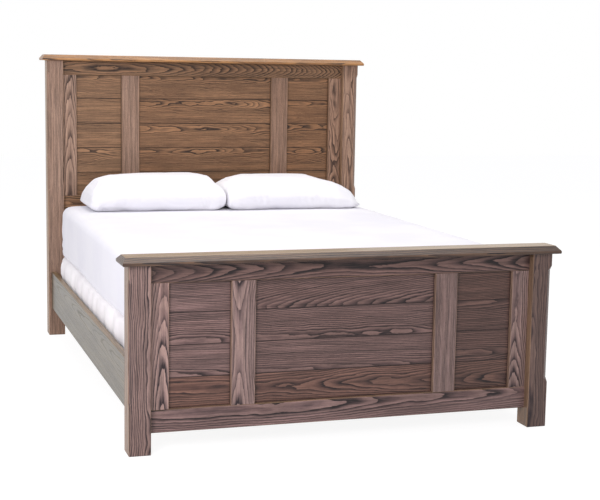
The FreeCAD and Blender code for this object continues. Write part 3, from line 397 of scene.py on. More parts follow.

# the panels' boards, each panel's from the lowest up; bright and warm hold each board's own tone
# and painted shade, darker and warmer towards the right
panelBoards = {
    "foot_panel_left": (footOak, 101.0, [
        board(0.02, 0.045, 0.03, 0.12, warp=0.02, warm=0.9, bright=1.02),
        board(-0.05, 0.03, 0.05, warp=0.02, warm=0.1, bright=1.12),
        board(-0.052, 0.035, 0.02, 0.3, warp=0.02, warm=0.05, bright=1.2),
        board(0.12, 0.03, 0.0, 0.0, warp=0.008, warm=0.05, bright=1.12)]),
    "foot_panel_centre": (footOak, 133.0, [
        board(0.0, 0.045, -0.035, 0.0, warp=0.03, warm=0.8, bright=0.92),
        board(-0.055, 0.03, 0.02, 0.02, warp=0.022, warm=0.15, bright=0.96),
        board(-0.05, 0.03, 0.01, 0.05, warp=0.036, warm=0.15, bright=0.96),
        board(-0.06, 0.06, -0.1, 0.05, warp=0.012, warm=0.2, bright=0.9)]),
    "foot_panel_right": (footOak, 171.0, [
        board(-0.012, 0.045, -0.05, 0.0, warp=0.02, warm=0.8, bright=0.72),
        board(-0.03, 0.03, 0.02, 0.2, warp=0.03, warm=0.5, bright=0.76),
        board(0.05, 0.03, 0.03, 0.2, warp=0.02, warm=0.5, bright=0.74),
        board(0.1, 0.04, 0.02, 0.0, warp=0.012, warm=0.7, bright=0.68)]),
    "head_panel_left": (headOak, 203.0, [
        board(0.1, 0.04, 0.01, ringGap=0.0054, warp=0.01, warm=0.0, bright=1.06),
        board(0.045, 0.03, 0.03, 0.2, ringGap=0.0054, warp=0.046, warm=0.0, bright=1.1),
        board(0.09, 0.03, 0.03, 0.0, ringGap=0.0054, warp=0.01, warm=0.0, bright=1.16),
        board(0.042, 0.03, 0.05, 0.0, ringGap=0.0054, warp=0.046, warm=0.0, bright=1.14),
        board(0.056, 0.03, 0.0, 0.8, ringGap=0.0054, warp=0.02, warm=0.0, bright=1.08)]),
    "head_panel_centre": (headOak, 241.0, [
        board(0.11, 0.04, 0.0, ringGap=0.0054, warp=0.01, bright=0.97),
        board(0.042, 0.028, 0.02, 0.04, ringGap=0.0054, warp=0.046, warm=0.3),
        board(0.04, 0.028, 0.03, 0.0, ringGap=0.0054, warp=0.046, warm=0.3, bright=1.02),
        board(0.045, 0.028, 0.03, -0.05, ringGap=0.0054, warp=0.046, warm=0.25),
        board(0.12, 0.05, 0.04, 0.0, ringGap=0.0054, warp=0.016, bright=0.97)]),
    "head_panel_right": (headOak, 277.0, [
        board(0.1, 0.04, 0.0, ringGap=0.0054, warp=0.012, warm=0.4, bright=0.96),
        board(0.035, 0.03, 0.04, 0.4, ringGap=0.0054, warp=0.05, warm=0.5),
        board(0.045, 0.028, 0.04, -0.2, ringGap=0.0054, warp=0.046, warm=0.5),
        board(0.05, 0.028, 0.02, 0.2, ringGap=0.0054, warp=0.02, warm=0.4, bright=1.02),
        board(0.12, 0.04, 0.01, ringGap=0.0054, warp=0.01, warm=0.3)]),
}
for name, (kind, seed, rows) in panelBoards.items():
    putOn(nodes[name], oakMaterial(name + "Oak", dict(kind, seed=seed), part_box(name), rows=rows))
print("oak done")

# bare wood of the slats, legs, cleats and dowels
softwood = dict(footOak, mid=lin(206, 176, 134), mid2=lin(196, 164, 120), tan=lin(222, 196, 156),
                dark=lin(168, 126, 82), lineAmount=0.5, roughness=0.55, relief=0.12, arrisHighlight=0.0,
                gloss=0.3)
softwoodPieces = [("slat_%d" % number, "X") for number in range(1, 6)]
softwoodPieces += [("centre_leg_%d" % number, "Z") for number in range(1, 4)]
softwoodPieces += [("slat_cleat_left", "Y"), ("slat_cleat_right", "Y")]
softwoodPieces += [("foot_cap_dowels", "Z"), ("head_cap_dowels", "Z")]
for number, (name, grain) in enumerate(softwoodPieces):
    kind = dict(softwood, grain=grain)
    oneBoard = board(0.03, 0.05, 0.01, ringGap=0.0068, warm=0.0, seed=300.0 + 3.7 * number)
    putOn(nodes[name], oakMaterial(name + "Wood", kind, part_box(name), oneBoard))

# zinc plate: fine drawn scratches under a faint cloudy bloom, in cells per metre
steelValues = {"scratchAcross": 900.0, "scratchAlong": 30.0, "bloom": 60.0, "relief": 0.15,
               "depth": 0.0002, "dull": lin(176, 178, 176), "clean": lin(204, 203, 196)}


def steelMaterial(values):
    material, tree, shader = newMaterial("zincSteel")
    place = addNode(tree, "ShaderNodeTexCoord").outputs["Object"]
    x, y, z = addNode(tree, "ShaderNodeSeparateXYZ", place).outputs
    drawnAt = join3(tree, calc(tree, "MULTIPLY", x, values["scratchAcross"]),
                    calc(tree, "MULTIPLY", y, values["scratchAcross"]),
                    calc(tree, "MULTIPLY", z, values["scratchAlong"]))
    drawn = noise(tree, drawnAt, 1.0, 3.0)
    bloom = noise(tree, place, values["bloom"], 3.0)
    colour = blendColour(tree, span(tree, bloom, 0.35, 0.65), values["dull"], values["clean"])
    tree.links.new(colour, shader.inputs["Base Color"])
    tree.links.new(span(tree, drawn, 0.3, 0.7, 0.26, 0.44), shader.inputs["Roughness"])
    bump = addNode(tree, "ShaderNodeBump", values["relief"], values["depth"])
    tree.links.new(drawn, bump.inputs["Height"])
    tree.links.new(bump.outputs[0], shader.inputs["Normal"])
    shader.inputs["Metallic"].default_value = 1.0
    return material


steel = steelMaterial(steelValues)
for name in nodes:
    if "_plate" in name or name.endswith("_screws"):
        putOn(nodes[name], steel)
print("bare wood and steel done")


def clothMaterial(name, cloth):
    # plain weave: two crossed sets of threads, with slubs and a soft unevenness in the white
    material, tree, shader = newMaterial(name)
    place = addNode(tree, "ShaderNodeTexCoord").outputs["Object"]
    x, y, z = addNode(tree, "ShaderNodeSeparateXYZ", place).outputs
    pitch = 2 * math.pi / cloth["thread"]
    first = calc(tree, "SINE", calc(tree, "MULTIPLY", calc(tree, "ADD", x, z), pitch))
    second = calc(tree, "SINE", calc(tree, "MULTIPLY", calc(tree, "SUBTRACT", y, z), pitch))
    weave = calc(tree, "MULTIPLY", first, second)
    slub = noise(tree, place, cloth["slubCells"], 2.0)
    cloud = noise(tree, place, cloth["cloudCells"], 3.0)
    colour = blendColour(tree, span(tree, cloud, 0.35, 0.65), cloth["light"], cloth["shade"])
    slubShare = span(tree, slub, 0.45, 0.75, 0.0, 0.35)
    colour = blendColour(tree, slubShare, colour, cloth["shade"])
    tree.links.new(colour, shader.inputs["Base Color"])
    height = calc(tree, "MULTIPLY_ADD", weave, 0.35, slub)
    bump = addNode(tree, "ShaderNodeBump", cloth["relief"], 0.0004)
    tree.links.new(height, bump.inputs["Height"])
    creaseAt = noise(tree, place, cloth["creaseCells"], 4.0, 0.55)
    soft = addNode(tree, "ShaderNodeBump", cloth["crease"], 0.004)
    tree.links.new(creaseAt, soft.inputs["Height"])
    tree.links.new(bump.outputs[0], soft.inputs["Normal"])
    tree.links.new(soft.outputs[0], shader.inputs["Normal"])
    shader.inputs["Roughness"].default_value = 0.85
    shader.inputs["Sheen Weight"].default_value = cloth["sheen"]
    shader.inputs["Sheen Roughness"].default_value = 0.5
    return material


cotton = {"thread": 0.0011, "relief": 0.12, "crease": 0.1, "sheen": 0.15,
          "slubCells": 320.0, "cloudCells": 3.5, "creaseCells": 14.0}
sheetCotton = clothMaterial("sheetCotton", dict(
    cotton, light=lin(230, 229, 234), shade=lin(224, 223, 230)))
pillowCotton = clothMaterial("pillowCotton", dict(
    cotton, light=lin(238, 237, 240), shade=lin(232, 231, 236), crease=0.14))
coverCotton = clothMaterial("coverCotton", dict(
    cotton, light=lin(243, 240, 240), shade=lin(233, 229, 230), thread=0.0014, relief=0.15,
    crease=0.12, sheen=0.1))
ticking = clothMaterial("ticking", dict(
    cotton, light=lin(228, 224, 214), shade=lin(214, 208, 196), thread=0.0024, relief=0.25,
    crease=0.08, sheen=0.1))


def meshPiece(name, mesh):
    piece = bpy.data.objects.new(name, mesh)
    scene.collection.objects.link(piece)
    return piece


def makeSurface(name, points, closeBottom=True):
    # rows of points, each a closed ring; the last ring closes on its middle, the first may too
    rows, columns, _ = points.shape
    at = np.arange(rows * columns).reshape(rows, columns)
    nextAt = np.roll(at, -1, axis=1)
    quads = np.stack([at[:-1], nextAt[:-1], nextAt[1:], at[1:]], axis=-1).reshape(-1, 4)
    spots = points.reshape(-1, 3)
    faces = quads.tolist()
    for wanted, ring, flip in ((closeBottom, 0, True), (True, rows - 1, False)):
        if wanted:
            centre = len(spots)
            spots = np.vstack([spots, points[ring].mean(axis=0)])
            fan = np.stack([at[ring], nextAt[ring], np.full(columns, centre)], axis=-1)
            faces += (fan[:, ::-1] if flip else fan).tolist()
    mesh = bpy.data.meshes.new(name)
    mesh.from_pydata(spots.tolist(), [], faces)
    mesh.polygons.foreach_set("use_smooth", [True] * len(mesh.polygons))
    mesh.update()
    return meshPiece(name, mesh)


def halfSize(box, ease):
    # half a box along X and Y, drawn in by the ease
    return [(high - low) / 2 - ease for low, high in zip(box[0][:2], box[1][:2])]


def blockColumns(longCount, shortCount, cornerCount):
    # round the outline of a block: how far along each side, and which way is out
    parts = []
    for turn in range(4):
        count = longCount if turn % 2 == 0 else shortCount
        slide = np.linspace(-1, 1, count, endpoint=False)
        bend = np.linspace(0, np.pi / 2, cornerCount, endpoint=False)
        ax = np.concatenate([np.ones(count), np.ones(cornerCount)])
        ay = np.concatenate([slide, np.ones(cornerCount)])
        dx = np.concatenate([np.ones(count), np.cos(bend)])
        dy = np.concatenate([np.zeros(count), np.sin(bend)])
        c, s = [(1, 0), (0, 1), (-1, 0), (0, -1)][turn]
        parts.append(np.stack([ax * c - ay * s, ax * s + ay * c, dx * c - dy * s, dx * s + dy * c]))
    return np.concatenate(parts, axis=1)


def blockRings(half, corner, columns, insets, levels):
    # each ring is the outline drawn in by its inset, at its level
    ax, ay, dx, dy = columns
    insets = np.asarray(insets)[:, None]
    levels = np.asarray(levels)[:, None]
    x = ax * (half[0] - corner) + dx * (corner - insets)
    y = ay * (half[1] - corner) + dy * (corner - insets)
    return np.stack([x, y, levels + 0 * x], axis=-1)


def closeInwards(ring, shares, levelAt):
    # a ring drawn in towards the middle by each share, at the level that the formula gives there
    inner = []
    for share in shares:
        drawn = ring.copy()
        drawn[:, :2] *= share
        drawn[:, 2] = levelAt(drawn[:, 0], drawn[:, 1])
        inner.append(drawn)
    return np.array(inner)


def crownLevel(x, y, half, top, values):
    # how far inside the rounded edges a point is, and the level there: the crown's height is
    # lost towards the edges as the square of the way that is left
    away = np.minimum(half[0] - np.abs(x), half[1] - np.abs(y)) - values["roll"]
    return away, top - values["crown"] * (1 - np.clip(away / values["crownRun"], 0, 1)) ** 2


def smoothWave(x, y, seed, scale):
    # six crossed sine waves of uneven length and direction, from about -1 to 1
    rng = np.random.default_rng(seed)
    total = np.zeros(np.broadcast(x, y).shape)
    for number in range(6):
        turn = rng.uniform(0, np.pi)
        length = scale * rng.uniform(0.6, 1.6)
        across = x * np.cos(turn) + y * np.sin(turn)
        total += np.sin(across * 2 * np.pi / length + rng.uniform(0, 6.28))
    return total / 3.5


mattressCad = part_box("mattress")
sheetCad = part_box("fitted_sheet")
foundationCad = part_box("foundation")
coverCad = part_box("foundation_cover")


def makePaddedBlock(name, box, values):
    # a block with a quarter round along its edges and a crown that rises towards its middle
    columns = blockColumns(64, 48, 12)
    half = halfSize(box, values["ease"])
    low, high = box[0][2], box[1][2] - values["ease"]
    roll, base = values["roll"], values["baseRoll"]
    shoulder = high - values["crown"] - roll
    turn = np.linspace(0, np.pi / 2, 8)
    insets = np.concatenate([base * (1 - np.sin(turn)), np.zeros(6), roll * (1 - np.cos(turn))])
    levels = np.concatenate([low + base * (1 - np.cos(turn)),
                             np.linspace(low + base, shoulder, 8)[1:-1],
                             shoulder + roll * np.sin(turn)])
    rings = blockRings(half, values["corner"], columns, insets, levels)
    inner = closeInwards(rings[-1], (0.93, 0.86, 0.7, 0.45, 0.2),
                         lambda x, y: crownLevel(x, y, half, high, values)[1])
    under = rings[0].copy()
    under[:, :2] *= 0.5
    return makeSurface(name, np.concatenate([under[None], rings, inner]))


mattressValues = {"ease": 0.0005, "roll": 0.042, "baseRoll": 0.026, "crown": 0.009,
                  "crownRun": 0.09, "corner": 0.074}
foundationValues = {"ease": 0.0005, "roll": 0.022, "baseRoll": 0.014, "crown": 0.0,
                    "crownRun": 0.09, "corner": 0.074}
mattress = makePaddedBlock("mattressPad", mattressCad, mattressValues)
foundation = makePaddedBlock("foundationPad", foundationCad, foundationValues)
for piece, body, node, fill in ((mattress, "mattress", "mattress", 0.95),
                                (foundation, "foundation", "foundation", 1.0)):
    putOn(piece, ticking)
    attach(piece, body)
    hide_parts(node)
print("mattress and foundation done")


def surfaceArea(piece):
    mesh = piece.data
    area = np.empty(len(mesh.polygons))
    mesh.polygons.foreach_get("area", area)
    return float(area.sum())


def addThickness(piece, thickness):
    shell = piece.modifiers.new("thickness", "SOLIDIFY")
    shell.thickness = thickness
    shell.offset = 1.0
    shell.use_even_offset = True


# the sheet: drawn over the mattress and tucked round its lower edge
sheetValues = {
    "clear": 0.0012, "corner": 0.076, "roll": 0.0435, "crown": 0.009, "crownRun": 0.09,
    "tuck": 0.055, "baseRoll": 0.02, "below": 0.0005, "thickness": 0.0009,
    "sag": 0.009, "sagLength": 0.62, "edgeRun": 0.03,
    "pucker": 0.0032, "puckerRun": 0.12, "puckers": 16, "swell": 0.0012, "swellLength": 0.24,
    "topWave": 0.0009, "topWaveLength": 0.55, "topWaveRun": 0.1,
    # how far the lower edge stands below or above its line, along each long side
    "edgeLine": ((-1.02, -0.73, -0.43, -0.26, -0.07, 0.17, 0.4, 0.63, 0.84, 1.02),
                 (0.002, -0.0015, -0.0085, -0.0115, -0.0125, -0.0055, 0.0, 0.001, 0.0, -0.004)),
}


def makeSheet(values):
    columns = blockColumns(150, 112, 18)
    half = halfSize(sheetCad, values["clear"])
    top = sheetCad[1][2] - values["clear"]
    base = mattressCad[0][2]
    lowest = base - values["below"]
    roll, corner, baseRoll = values["roll"], values["corner"], values["baseRoll"]
    shoulder = top - values["crown"] - roll
    turn = np.linspace(0, np.pi / 2, 12)
    under = np.linspace(0, 1, 5)[:-1]
    insets = np.concatenate([values["tuck"] * (1 - under) + baseRoll * under,
                             baseRoll * (1 - np.sin(turn)), np.zeros(22),
                             roll * (1 - np.cos(turn))])
    levels = np.concatenate([np.full(len(under), lowest), lowest + baseRoll * (1 - np.cos(turn)),
                             np.linspace(base + baseRoll, shoulder, 24)[1:-1],
                             shoulder + roll * np.sin(turn)])
    insets = np.minimum(insets, corner * 0.9)
    rings = blockRings(half, corner, columns, insets, levels)
    ax, ay, dx, dy = columns
    # the lower edge sags into the notch above the foundation: by a measured line along the long
    # sides and by a free wave at the two ends, fading within the edge's run
    onLongSide = np.abs(dx) > np.abs(dy)
    along = np.where(onLongSide, ay * half[1], ax * half[0] + 3.0)
    wave = -values["sag"] * (0.45 + 0.55 * smoothWave(along, along * 0, 12, values["sagLength"]))
    wave = np.where(onLongSide, np.interp(along, *values["edgeLine"]), wave)
    nearBase = np.exp(-((rings[:, :, 2] - base) / values["edgeRun"]) ** 2)
    nearBase[:len(under)] = 0
    rings[:, :, 2] += wave * nearBase
    # puckers fan out from the corners, and the sides have faint upright swells
    toCorner = np.hypot(*(half[axis] - corner * 0.3 - np.abs(rings[:, :, axis]) for axis in (0, 1)))
    height = rings[:, :, 2] - base
    fan = np.sin(np.arctan2(height, toCorner + 0.02) * values["puckers"] + ay * 3)
    fan *= np.exp(-toCorner / values["puckerRun"])
    side = np.clip(height / 0.05, 0, 1)
    side *= np.clip((shoulder + 0.02 - rings[:, :, 2]) / 0.08, 0, 1)
    swell = smoothWave(along, rings[:, :, 2] * 0.4, 5, values["swellLength"])
    push = values["pucker"] * fan * side + values["swell"] * swell * side
    push = np.maximum(push, -0.0006)
    rings[:, :, 0] += dx * push
    rings[:, :, 1] += dy * push

    def levelAt(x, y):
        away, level = crownLevel(x, y, half, top, values)
        gentle = smoothWave(x, y, 7, values["topWaveLength"])
        gentle *= np.clip(away / values["topWaveRun"], 0, 1)
        return level + values["topWave"] * (gentle - 1)

    shares = np.concatenate([np.linspace(0.985, 0.8, 10), np.linspace(0.77, 0.06, 22)])
    inner = closeInwards(rings[-1], shares, levelAt)
    return makeSurface("fittedSheet", np.concatenate([rings, inner]), closeBottom=False)


sheet = makeSheet(sheetValues)
putOn(sheet, sheetCotton)
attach(sheet, "mattress")
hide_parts("fitted_sheet")
sheetArea = surfaceArea(sheet)
addThickness(sheet, sheetValues["thickness"])
print("sheet done, area", round(sheetArea, 3))

# the foundation's cover: its sides hang in soft folds and belly out above the side rails
coverValues = {
    "ease": -0.0006, "clear": 0.0011, "corner": 0.076, "roll": 0.0235, "thickness": 0.001,
    "fold": 0.017, "foldLength": 0.19, "small": 0.005, "smallLength": 0.071, "foldStart": 0.22,
    "belly": 0.0065, "bellyEnd": 0.7, "topWave": 0.0003, "topWaveLength": 0.4,
    "besideRail": 0.0152, "aboveRail": 0.0245, "railTop": 0.329, "railRun": 0.012,
    # how full the folds are along each long side
    "fullness": ((-1.02, -0.99, -0.9, -0.78, -0.66, -0.3, 0.2, 0.75, 0.95, 1.02),
                 (0.5, 0.12, 0.1, 0.5, 0.85, 0.8, 0.9, 1.25, 1.1, 0.5)),
    "endFullness": 0.6,
}


def makeCover(values):
    columns = blockColumns(260, 150, 20)
    half = halfSize(foundationCad, values["ease"])
    top = coverCad[1][2] - values["clear"]
    hem = coverCad[0][2]
    roll, corner = values["roll"], values["corner"]
    turn = np.linspace(0, np.pi / 2, 10)
    insets = np.concatenate([np.zeros(26), roll * (1 - np.cos(turn))])
    levels = np.concatenate([np.linspace(hem, top - roll, 27)[:-1],
                             top - roll + roll * np.sin(turn)])
    rings = blockRings(half, corner, columns, insets, levels)
    ax, ay, dx, dy = columns
    onLongSide = np.abs(dx) > np.abs(dy)
    along = np.where(onLongSide, ay * half[1], ax * half[0] + 3.0)
    # two sets of folds, which are sine waves along the side with their phase pushed about by
    # slower ones, and a belly that is half a sine wave down the side
    drop = np.clip((top - rings[:, :, 2]) / (top - hem), 0, 1)
    slant = along + 0.25 * (top - rings[:, :, 2]) * np.sin(along * 2.1)
    stray = 1.6 * np.sin(slant * 2.7)
    folds = 0.5 + 0.5 * np.sin(slant * 2 * np.pi / values["foldLength"] + stray
                               + 0.8 * np.sin(slant * 7.3))
    stray = 2.2 * np.sin(slant * 4.1)
    small = 0.5 + 0.5 * np.sin(slant * 2 * np.pi / values["smallLength"] + stray)
    grow = np.clip(drop / values["foldStart"], 0, 1) ** 0.7
    belly = np.sin(np.pi * np.clip(drop / values["bellyEnd"], 0, 1)) ** 0.7
    belly *= 0.7 + 0.3 * np.sin(along * 3.1 + 0.6)
    full = np.where(onLongSide, np.interp(along, *values["fullness"]), values["endFullness"])
    push = grow * (values["fold"] * folds ** 1.6 + values["small"] * small)
    push += values["belly"] * belly
    # room beside the rail is less than above it
    beside, above = values["besideRail"], values["aboveRail"]
    over = np.clip((rings[:, :, 2] - values["railTop"]) / values["railRun"], 0, 1)
    limit = beside + (above - beside) * over * (3 - 2 * over) * over
    push = limit * np.tanh(full * push / limit)
    rings[:, :, 0] += dx * push
    rings[:, :, 1] += dy * np.minimum(push, beside)

    def levelAt(x, y):
        return top + values["topWave"] * (smoothWave(x, y, 9, values["topWaveLength"]) - 1)

    inner = closeInwards(rings[-1], np.linspace(0.98, 0.06, 18), levelAt)
    return makeSurface("foundationSkirt", np.concatenate([rings, inner]), closeBottom=False)


cover = makeCover(coverValues)
putOn(cover, coverCotton)
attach(cover, "foundation")
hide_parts("foundation_cover")
coverArea = surfaceArea(cover)
addThickness(cover, coverValues["thickness"])
print("foundation cover done, area", round(coverArea, 3))

# pillows: the solid's own form, drawn in a little and blown up again as cloth
pillowValues = {
    "cell": 0.0075, "drawIn": 0.004, "pressure": 4.0, "frames": 20,
    "cloth": {"quality": 4, "mass": 0.2, "tension_stiffness": 12.0, "compression_stiffness": 12.0,
              "shear_stiffness": 4.0, "bending_stiffness": 0.2},
    "cap": 0.014,  # no point moves further than this in the simulation's direction
    "slackRun": 0.035, "crease": 0.003, "creaseLength": 0.11, "dent": 0.005, "dentLength": 0.3,
    # where the underside stands off the sheet: middle and half width along X, height
    "folds": {"left": ((-0.545, 0.07, 0.012), (-0.13, 0.025, 0.006), (-0.34, 0.05, 0.004)),
              "right": ((0.06, 0.022, 0.007), (0.24, 0.13, 0.005), (0.5, 0.04, 0.006))},
    "foldRun": 0.05,
    # upright creases low on the front: middle and half width along X
    "pleats": {"left": ((-0.5, 0.05), (-0.12, 0.04)), "right": ((0.16, 0.05), (0.42, 0.11))},
    "pleat": 0.003, "pleatGap": 0.034, "pleatMiddle": 0.05, "pleatRun": 0.035,
    # how far the left pillow's outer end stands out, by height
    "endOut": ((0.0, 0.005, 0.02, 0.04, 0.062, 0.09), (0.024, 0.03, 0.027, 0.014, 0.002, 0.0)),
    "endFrom": 0.26, "endRun": 0.16, "endLimit": 0.006,
    "settle": 0.012, "settleDepth": 0.12, "settleRun": 0.022,
    "apart": 0.0005, "press": 0.9, "pressTop": 0.13, "pressFade": 0.05, "pressRun": 0.05,
    "pressSoft": 0.003, "lowest": 0.0002, "highest": 0.004,
}


def settle(piece):
    # the mesh with its modifiers worked in
    depsgraph = bpy.context.evaluated_depsgraph_get()
    mesh = bpy.data.meshes.new_from_object(piece.evaluated_get(depsgraph))
    piece.modifiers.clear()
    piece.data = mesh


def readVertices(mesh, what):
    # positions ("co") or normals ("normal"), a row for each vertex
    spots = np.empty(len(mesh.vertices) * 3)
    mesh.vertices.foreach_get(what, spots)
    return spots.reshape(-1, 3)


def evenCopy(name, node, cell):
    # the solid's form as an even mesh that can move as cloth
    shell = bmesh.new()
    shell.from_mesh(node.data)
    bmesh.ops.remove_doubles(shell, verts=shell.verts, dist=1e-5)
    bmesh.ops.recalc_face_normals(shell, faces=shell.faces)
    mesh = bpy.data.meshes.new(name)
    shell.to_mesh(mesh)
    shell.free()
    piece = meshPiece(name, mesh)
    remesh = piece.modifiers.new("remesh", "REMESH")
    remesh.mode = "VOXEL"
    remesh.voxel_size = cell
    settle(piece)
    return piece


def blowUp(piece, values):
    # pressure from inside, with no weight and nothing to touch
    cloth = piece.modifiers.new("cloth", "CLOTH")
    for setting, value in values["cloth"].items():
        setattr(cloth.settings, setting, value)
    cloth.settings.use_pressure = True
    cloth.settings.uniform_pressure_force = values["pressure"]
    cloth.settings.effector_weights.gravity = 0.0
    cloth.collision_settings.use_collision = False
    for number in range(1, values["frames"] + 1):
        scene.frame_set(number)
    settle(piece)
    scene.frame_set(1)


def makePillow(side, values):
    low, high = (np.array(corner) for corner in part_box("pillow_" + side))
    piece = evenCopy("pillow" + side.title(), nodes["pillow_" + side], values["cell"])
    full = readVertices(piece.data, "co")
    normals = readVertices(piece.data, "normal")
    piece.data.vertices.foreach_set("co", (full - normals * values["drawIn"]).ravel())
    blowUp(piece, values)
    blown = readVertices(piece.data, "co")
    moved = blown - full
    distance = np.linalg.norm(moved, axis=1, keepdims=True)
    print("pillow", side, "cloth moved at most", round(float(distance.max()) * 1000, 1),
          "mm, on average", round(float(distance.mean()) * 1000, 1))
    blown = full + moved * np.minimum(1, values["cap"] / np.maximum(distance, 1e-9))
    # fine creases where the cloth is slack, none where it lies on the sheet
    x, y, z = blown.T  # views: they follow each change to blown below
    slack = np.clip((z - low[2]) / values["slackRun"], 0, 1)
    crease = np.abs(smoothWave(x * 0.5, y * 0.8 + z * 1.5, 31, values["creaseLength"])) ** 0.6
    dent = np.clip(smoothWave(x, y + z * 2.2, 47, values["dentLength"]), 0, 1)
    blown -= normals * (slack * (values["crease"] * (1 - crease) + values["dent"] * dent))[:, None]
    for at, width, lift in values["folds"][side]:
        slope = 0.6 * (y - low[1])
        hump = lift * np.exp(-((x - at - slope * 0.2) / width) ** 2)
        z += hump * np.clip(1 - (z - low[2]) / values["foldRun"], 0, 1)
    height = z - low[2]
    for at, width in values["pleats"][side]:
        here = np.exp(-((x - at) / width) ** 2)
        here *= np.exp(-((height - values["pleatMiddle"]) / values["pleatRun"]) ** 2)
        wave = 0.5 + 0.5 * np.sin(2 * np.pi * (x + 0.25 * height) / values["pleatGap"] + 5 * at)
        blown -= normals * (values["pleat"] * here * wave)[:, None]
    if side == "left":
        # the outer end stays full down to the sheet
        near = np.clip((low[0] + values["endFrom"] - x) / values["endRun"], 0, 1)
        x -= near * near * (3 - 2 * near) * np.interp(height, *values["endOut"])
        np.maximum(x, low[0] - values["endLimit"], out=x)
    # the front edge settles on the sheet
    front = np.clip((low[1] + values["settleDepth"] - y) / values["settleDepth"], 0, 1)
    y -= values["settle"] * front * np.exp(-(height / values["settleRun"]) ** 2)
    np.clip(z, low[2] + values["lowest"], high[2] + values["highest"], out=z)
    # the two pillows press flat against each other without touching
    middle = (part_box("pillow_left")[1][0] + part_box("pillow_right")[0][0]) / 2
    sign = -1 if side == "left" else 1
    gap = sign * (x - middle) - values["apart"]
    pressed = values["press"] * np.clip((values["pressTop"] - height) / values["pressFade"], 0, 1)
    gap = gap * (1 - pressed * np.exp(-(gap / values["pressRun"]) ** 2))
    soft = values["pressSoft"]
    gap = np.where(gap < soft, soft * np.exp(np.minimum(gap, soft) / soft - 1), gap)
    x[:] = middle + sign * (values["apart"] + gap)
    piece.data.vertices.foreach_set("co", blown.ravel())
    piece.data.polygons.foreach_set("use_smooth", [True] * len(piece.data.polygons))
    piece.data.update()
    finer = piece.modifiers.new("finer", "SUBSURF")
    finer.levels = 1
    finer.render_levels = 1
    return piece


for side in ("left", "right"):
    pillow = makePillow(side, pillowValues)
    putOn(pillow, pillowCotton)
    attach(pillow, "pillow_" + side)
    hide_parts("pillow_" + side)
print("pillows done")


def rayMix(tree, plain, shown):
    # what the camera and reflections see, against what lights the object
    path = tree.nodes.new("ShaderNodeLightPath").outputs
    seen = calc(tree, "MAXIMUM", path["Is Camera Ray"], path["Is Glossy Ray"])
    seen = calc(tree, "MAXIMUM", seen, path["Is Transmission Ray"])
    return addNode(tree, "ShaderNodeMixShader", seen, plain, shown).outputs[0]


studio = {"ambient": 0.53, "ambientColour": (0.95, 0.95, 1.0, 1.0), "floorGlow": 0.78,
          "glowStrength": 1.15, "paper": (0.86, 0.86, 0.87, 1.0), "white": (1.0, 1.0, 1.0, 1.0),
          "floorReach": 14.0}
world = bpy.data.worlds.new("studio")
scene.world = world
world.use_nodes = True
tree = world.node_tree
tree.nodes.clear()
ambient = addNode(tree, "ShaderNodeBackground", studio["ambientColour"], studio["ambient"])
backdrop = addNode(tree, "ShaderNodeBackground", studio["white"], 1.0)
output = tree.nodes.new("ShaderNodeOutputWorld")
tree.links.new(rayMix(tree, ambient.outputs[0], backdrop.outputs[0]), output.inputs[0])

floorMesh = bpy.data.meshes.new("floor")
reach = studio["floorReach"]
floorCorners = [(-reach, -reach, 0), (reach, -reach, 0), (reach, reach, 0), (-reach, reach, 0)]
floorMesh.from_pydata(floorCorners, [], [(0, 1, 2, 3)])
floor = meshPiece("floor", floorMesh)
material = bpy.data.materials.new("floorPaper")
material.use_nodes = True
tree = material.node_tree
tree.nodes.clear()
paper = addNode(tree, "ShaderNodeBsdfDiffuse", studio["paper"]).outputs[0]
glow = addNode(tree, "ShaderNodeEmission", studio["white"], studio["glowStrength"]).outputs[0]
bright = addNode(tree, "ShaderNodeMixShader", studio["floorGlow"], paper, glow).outputs[0]
output = tree.nodes.new("ShaderNodeOutputMaterial")
tree.links.new(rayMix(tree, paper, bright), output.inputs[0])
putOn(floor, material)

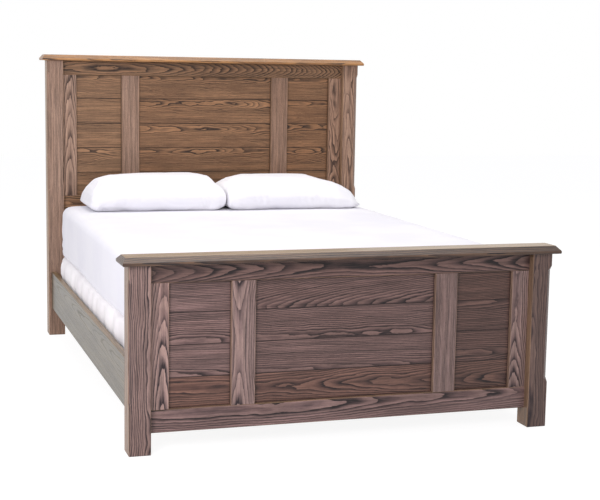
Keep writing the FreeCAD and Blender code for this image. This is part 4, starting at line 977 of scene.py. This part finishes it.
lamps = {
    "key": {"at": (-2.5, -3.9, 2.1), "aim": (-0.2, 0.0, 0.5), "size": 1.5, "power": 112,
            "colour": (0.98, 0.955, 1.0)},
    "side": {"at": (-4.6, 0.2, 2.2), "aim": (0.0, 0.2, 0.4), "size": 3.0, "power": 22,
             "colour": (0.98, 0.96, 1.0)},
    "top": {"at": (0.2, 0.3, 4.6), "aim": (0.0, 0.2, 0.6), "size": 3.6, "power": 118,
            "colour": (1.0, 0.98, 0.95)},
    "right": {"at": (2.6, -4.6, 3.6), "aim": (0.0, 0.2, 0.6), "size": 3.0, "power": 14,
              "colour": (1.0, 0.95, 0.86)},
}
for name, lamp in lamps.items():
    light = bpy.data.lights.new(name, "AREA")
    light.shape = "SQUARE"
    light.size = lamp["size"]
    light.energy = lamp["power"]
    light.color = lamp["colour"]
    holder = bpy.data.objects.new(name, light)
    place = Vector(lamp["at"])
    turn = (Vector(lamp["aim"]) - place).to_track_quat("-Z", "Y").to_matrix().to_4x4()
    holder.matrix_world = Matrix.Translation(place) @ turn
    scene.collection.objects.link(holder)

# the photograph's viewpoint
view = {"at": (-1.6466, -5.5906, 1.37), "yaw": 18.01, "pitch": 7.89, "roll": 0.98, "lens": 78.95}
yaw, pitch, roll = (math.radians(view[key]) for key in ("yaw", "pitch", "roll"))
ahead = Vector((math.sin(yaw) * math.cos(pitch), math.cos(yaw) * math.cos(pitch), -math.sin(pitch)))
level = Vector((math.cos(yaw), -math.sin(yaw), 0.0))
upright = level.cross(ahead)
right = math.cos(roll) * level + math.sin(roll) * upright
up = -math.sin(roll) * level + math.cos(roll) * upright
cameraData = bpy.data.cameras.new("camera")
cameraData.lens = view["lens"]
cameraData.sensor_width = 36.0
cameraData.sensor_fit = "HORIZONTAL"
cameraData.clip_end = 60.0
camera = bpy.data.objects.new("camera", cameraData)
camera.matrix_world = Matrix((
    (right.x, up.x, -ahead.x, view["at"][0]),
    (right.y, up.y, -ahead.y, view["at"][1]),
    (right.z, up.z, -ahead.z, view["at"][2]),
    (0.0, 0.0, 0.0, 1.0)))
scene.collection.objects.link(camera)
scene.camera = camera
print("studio and camera done")
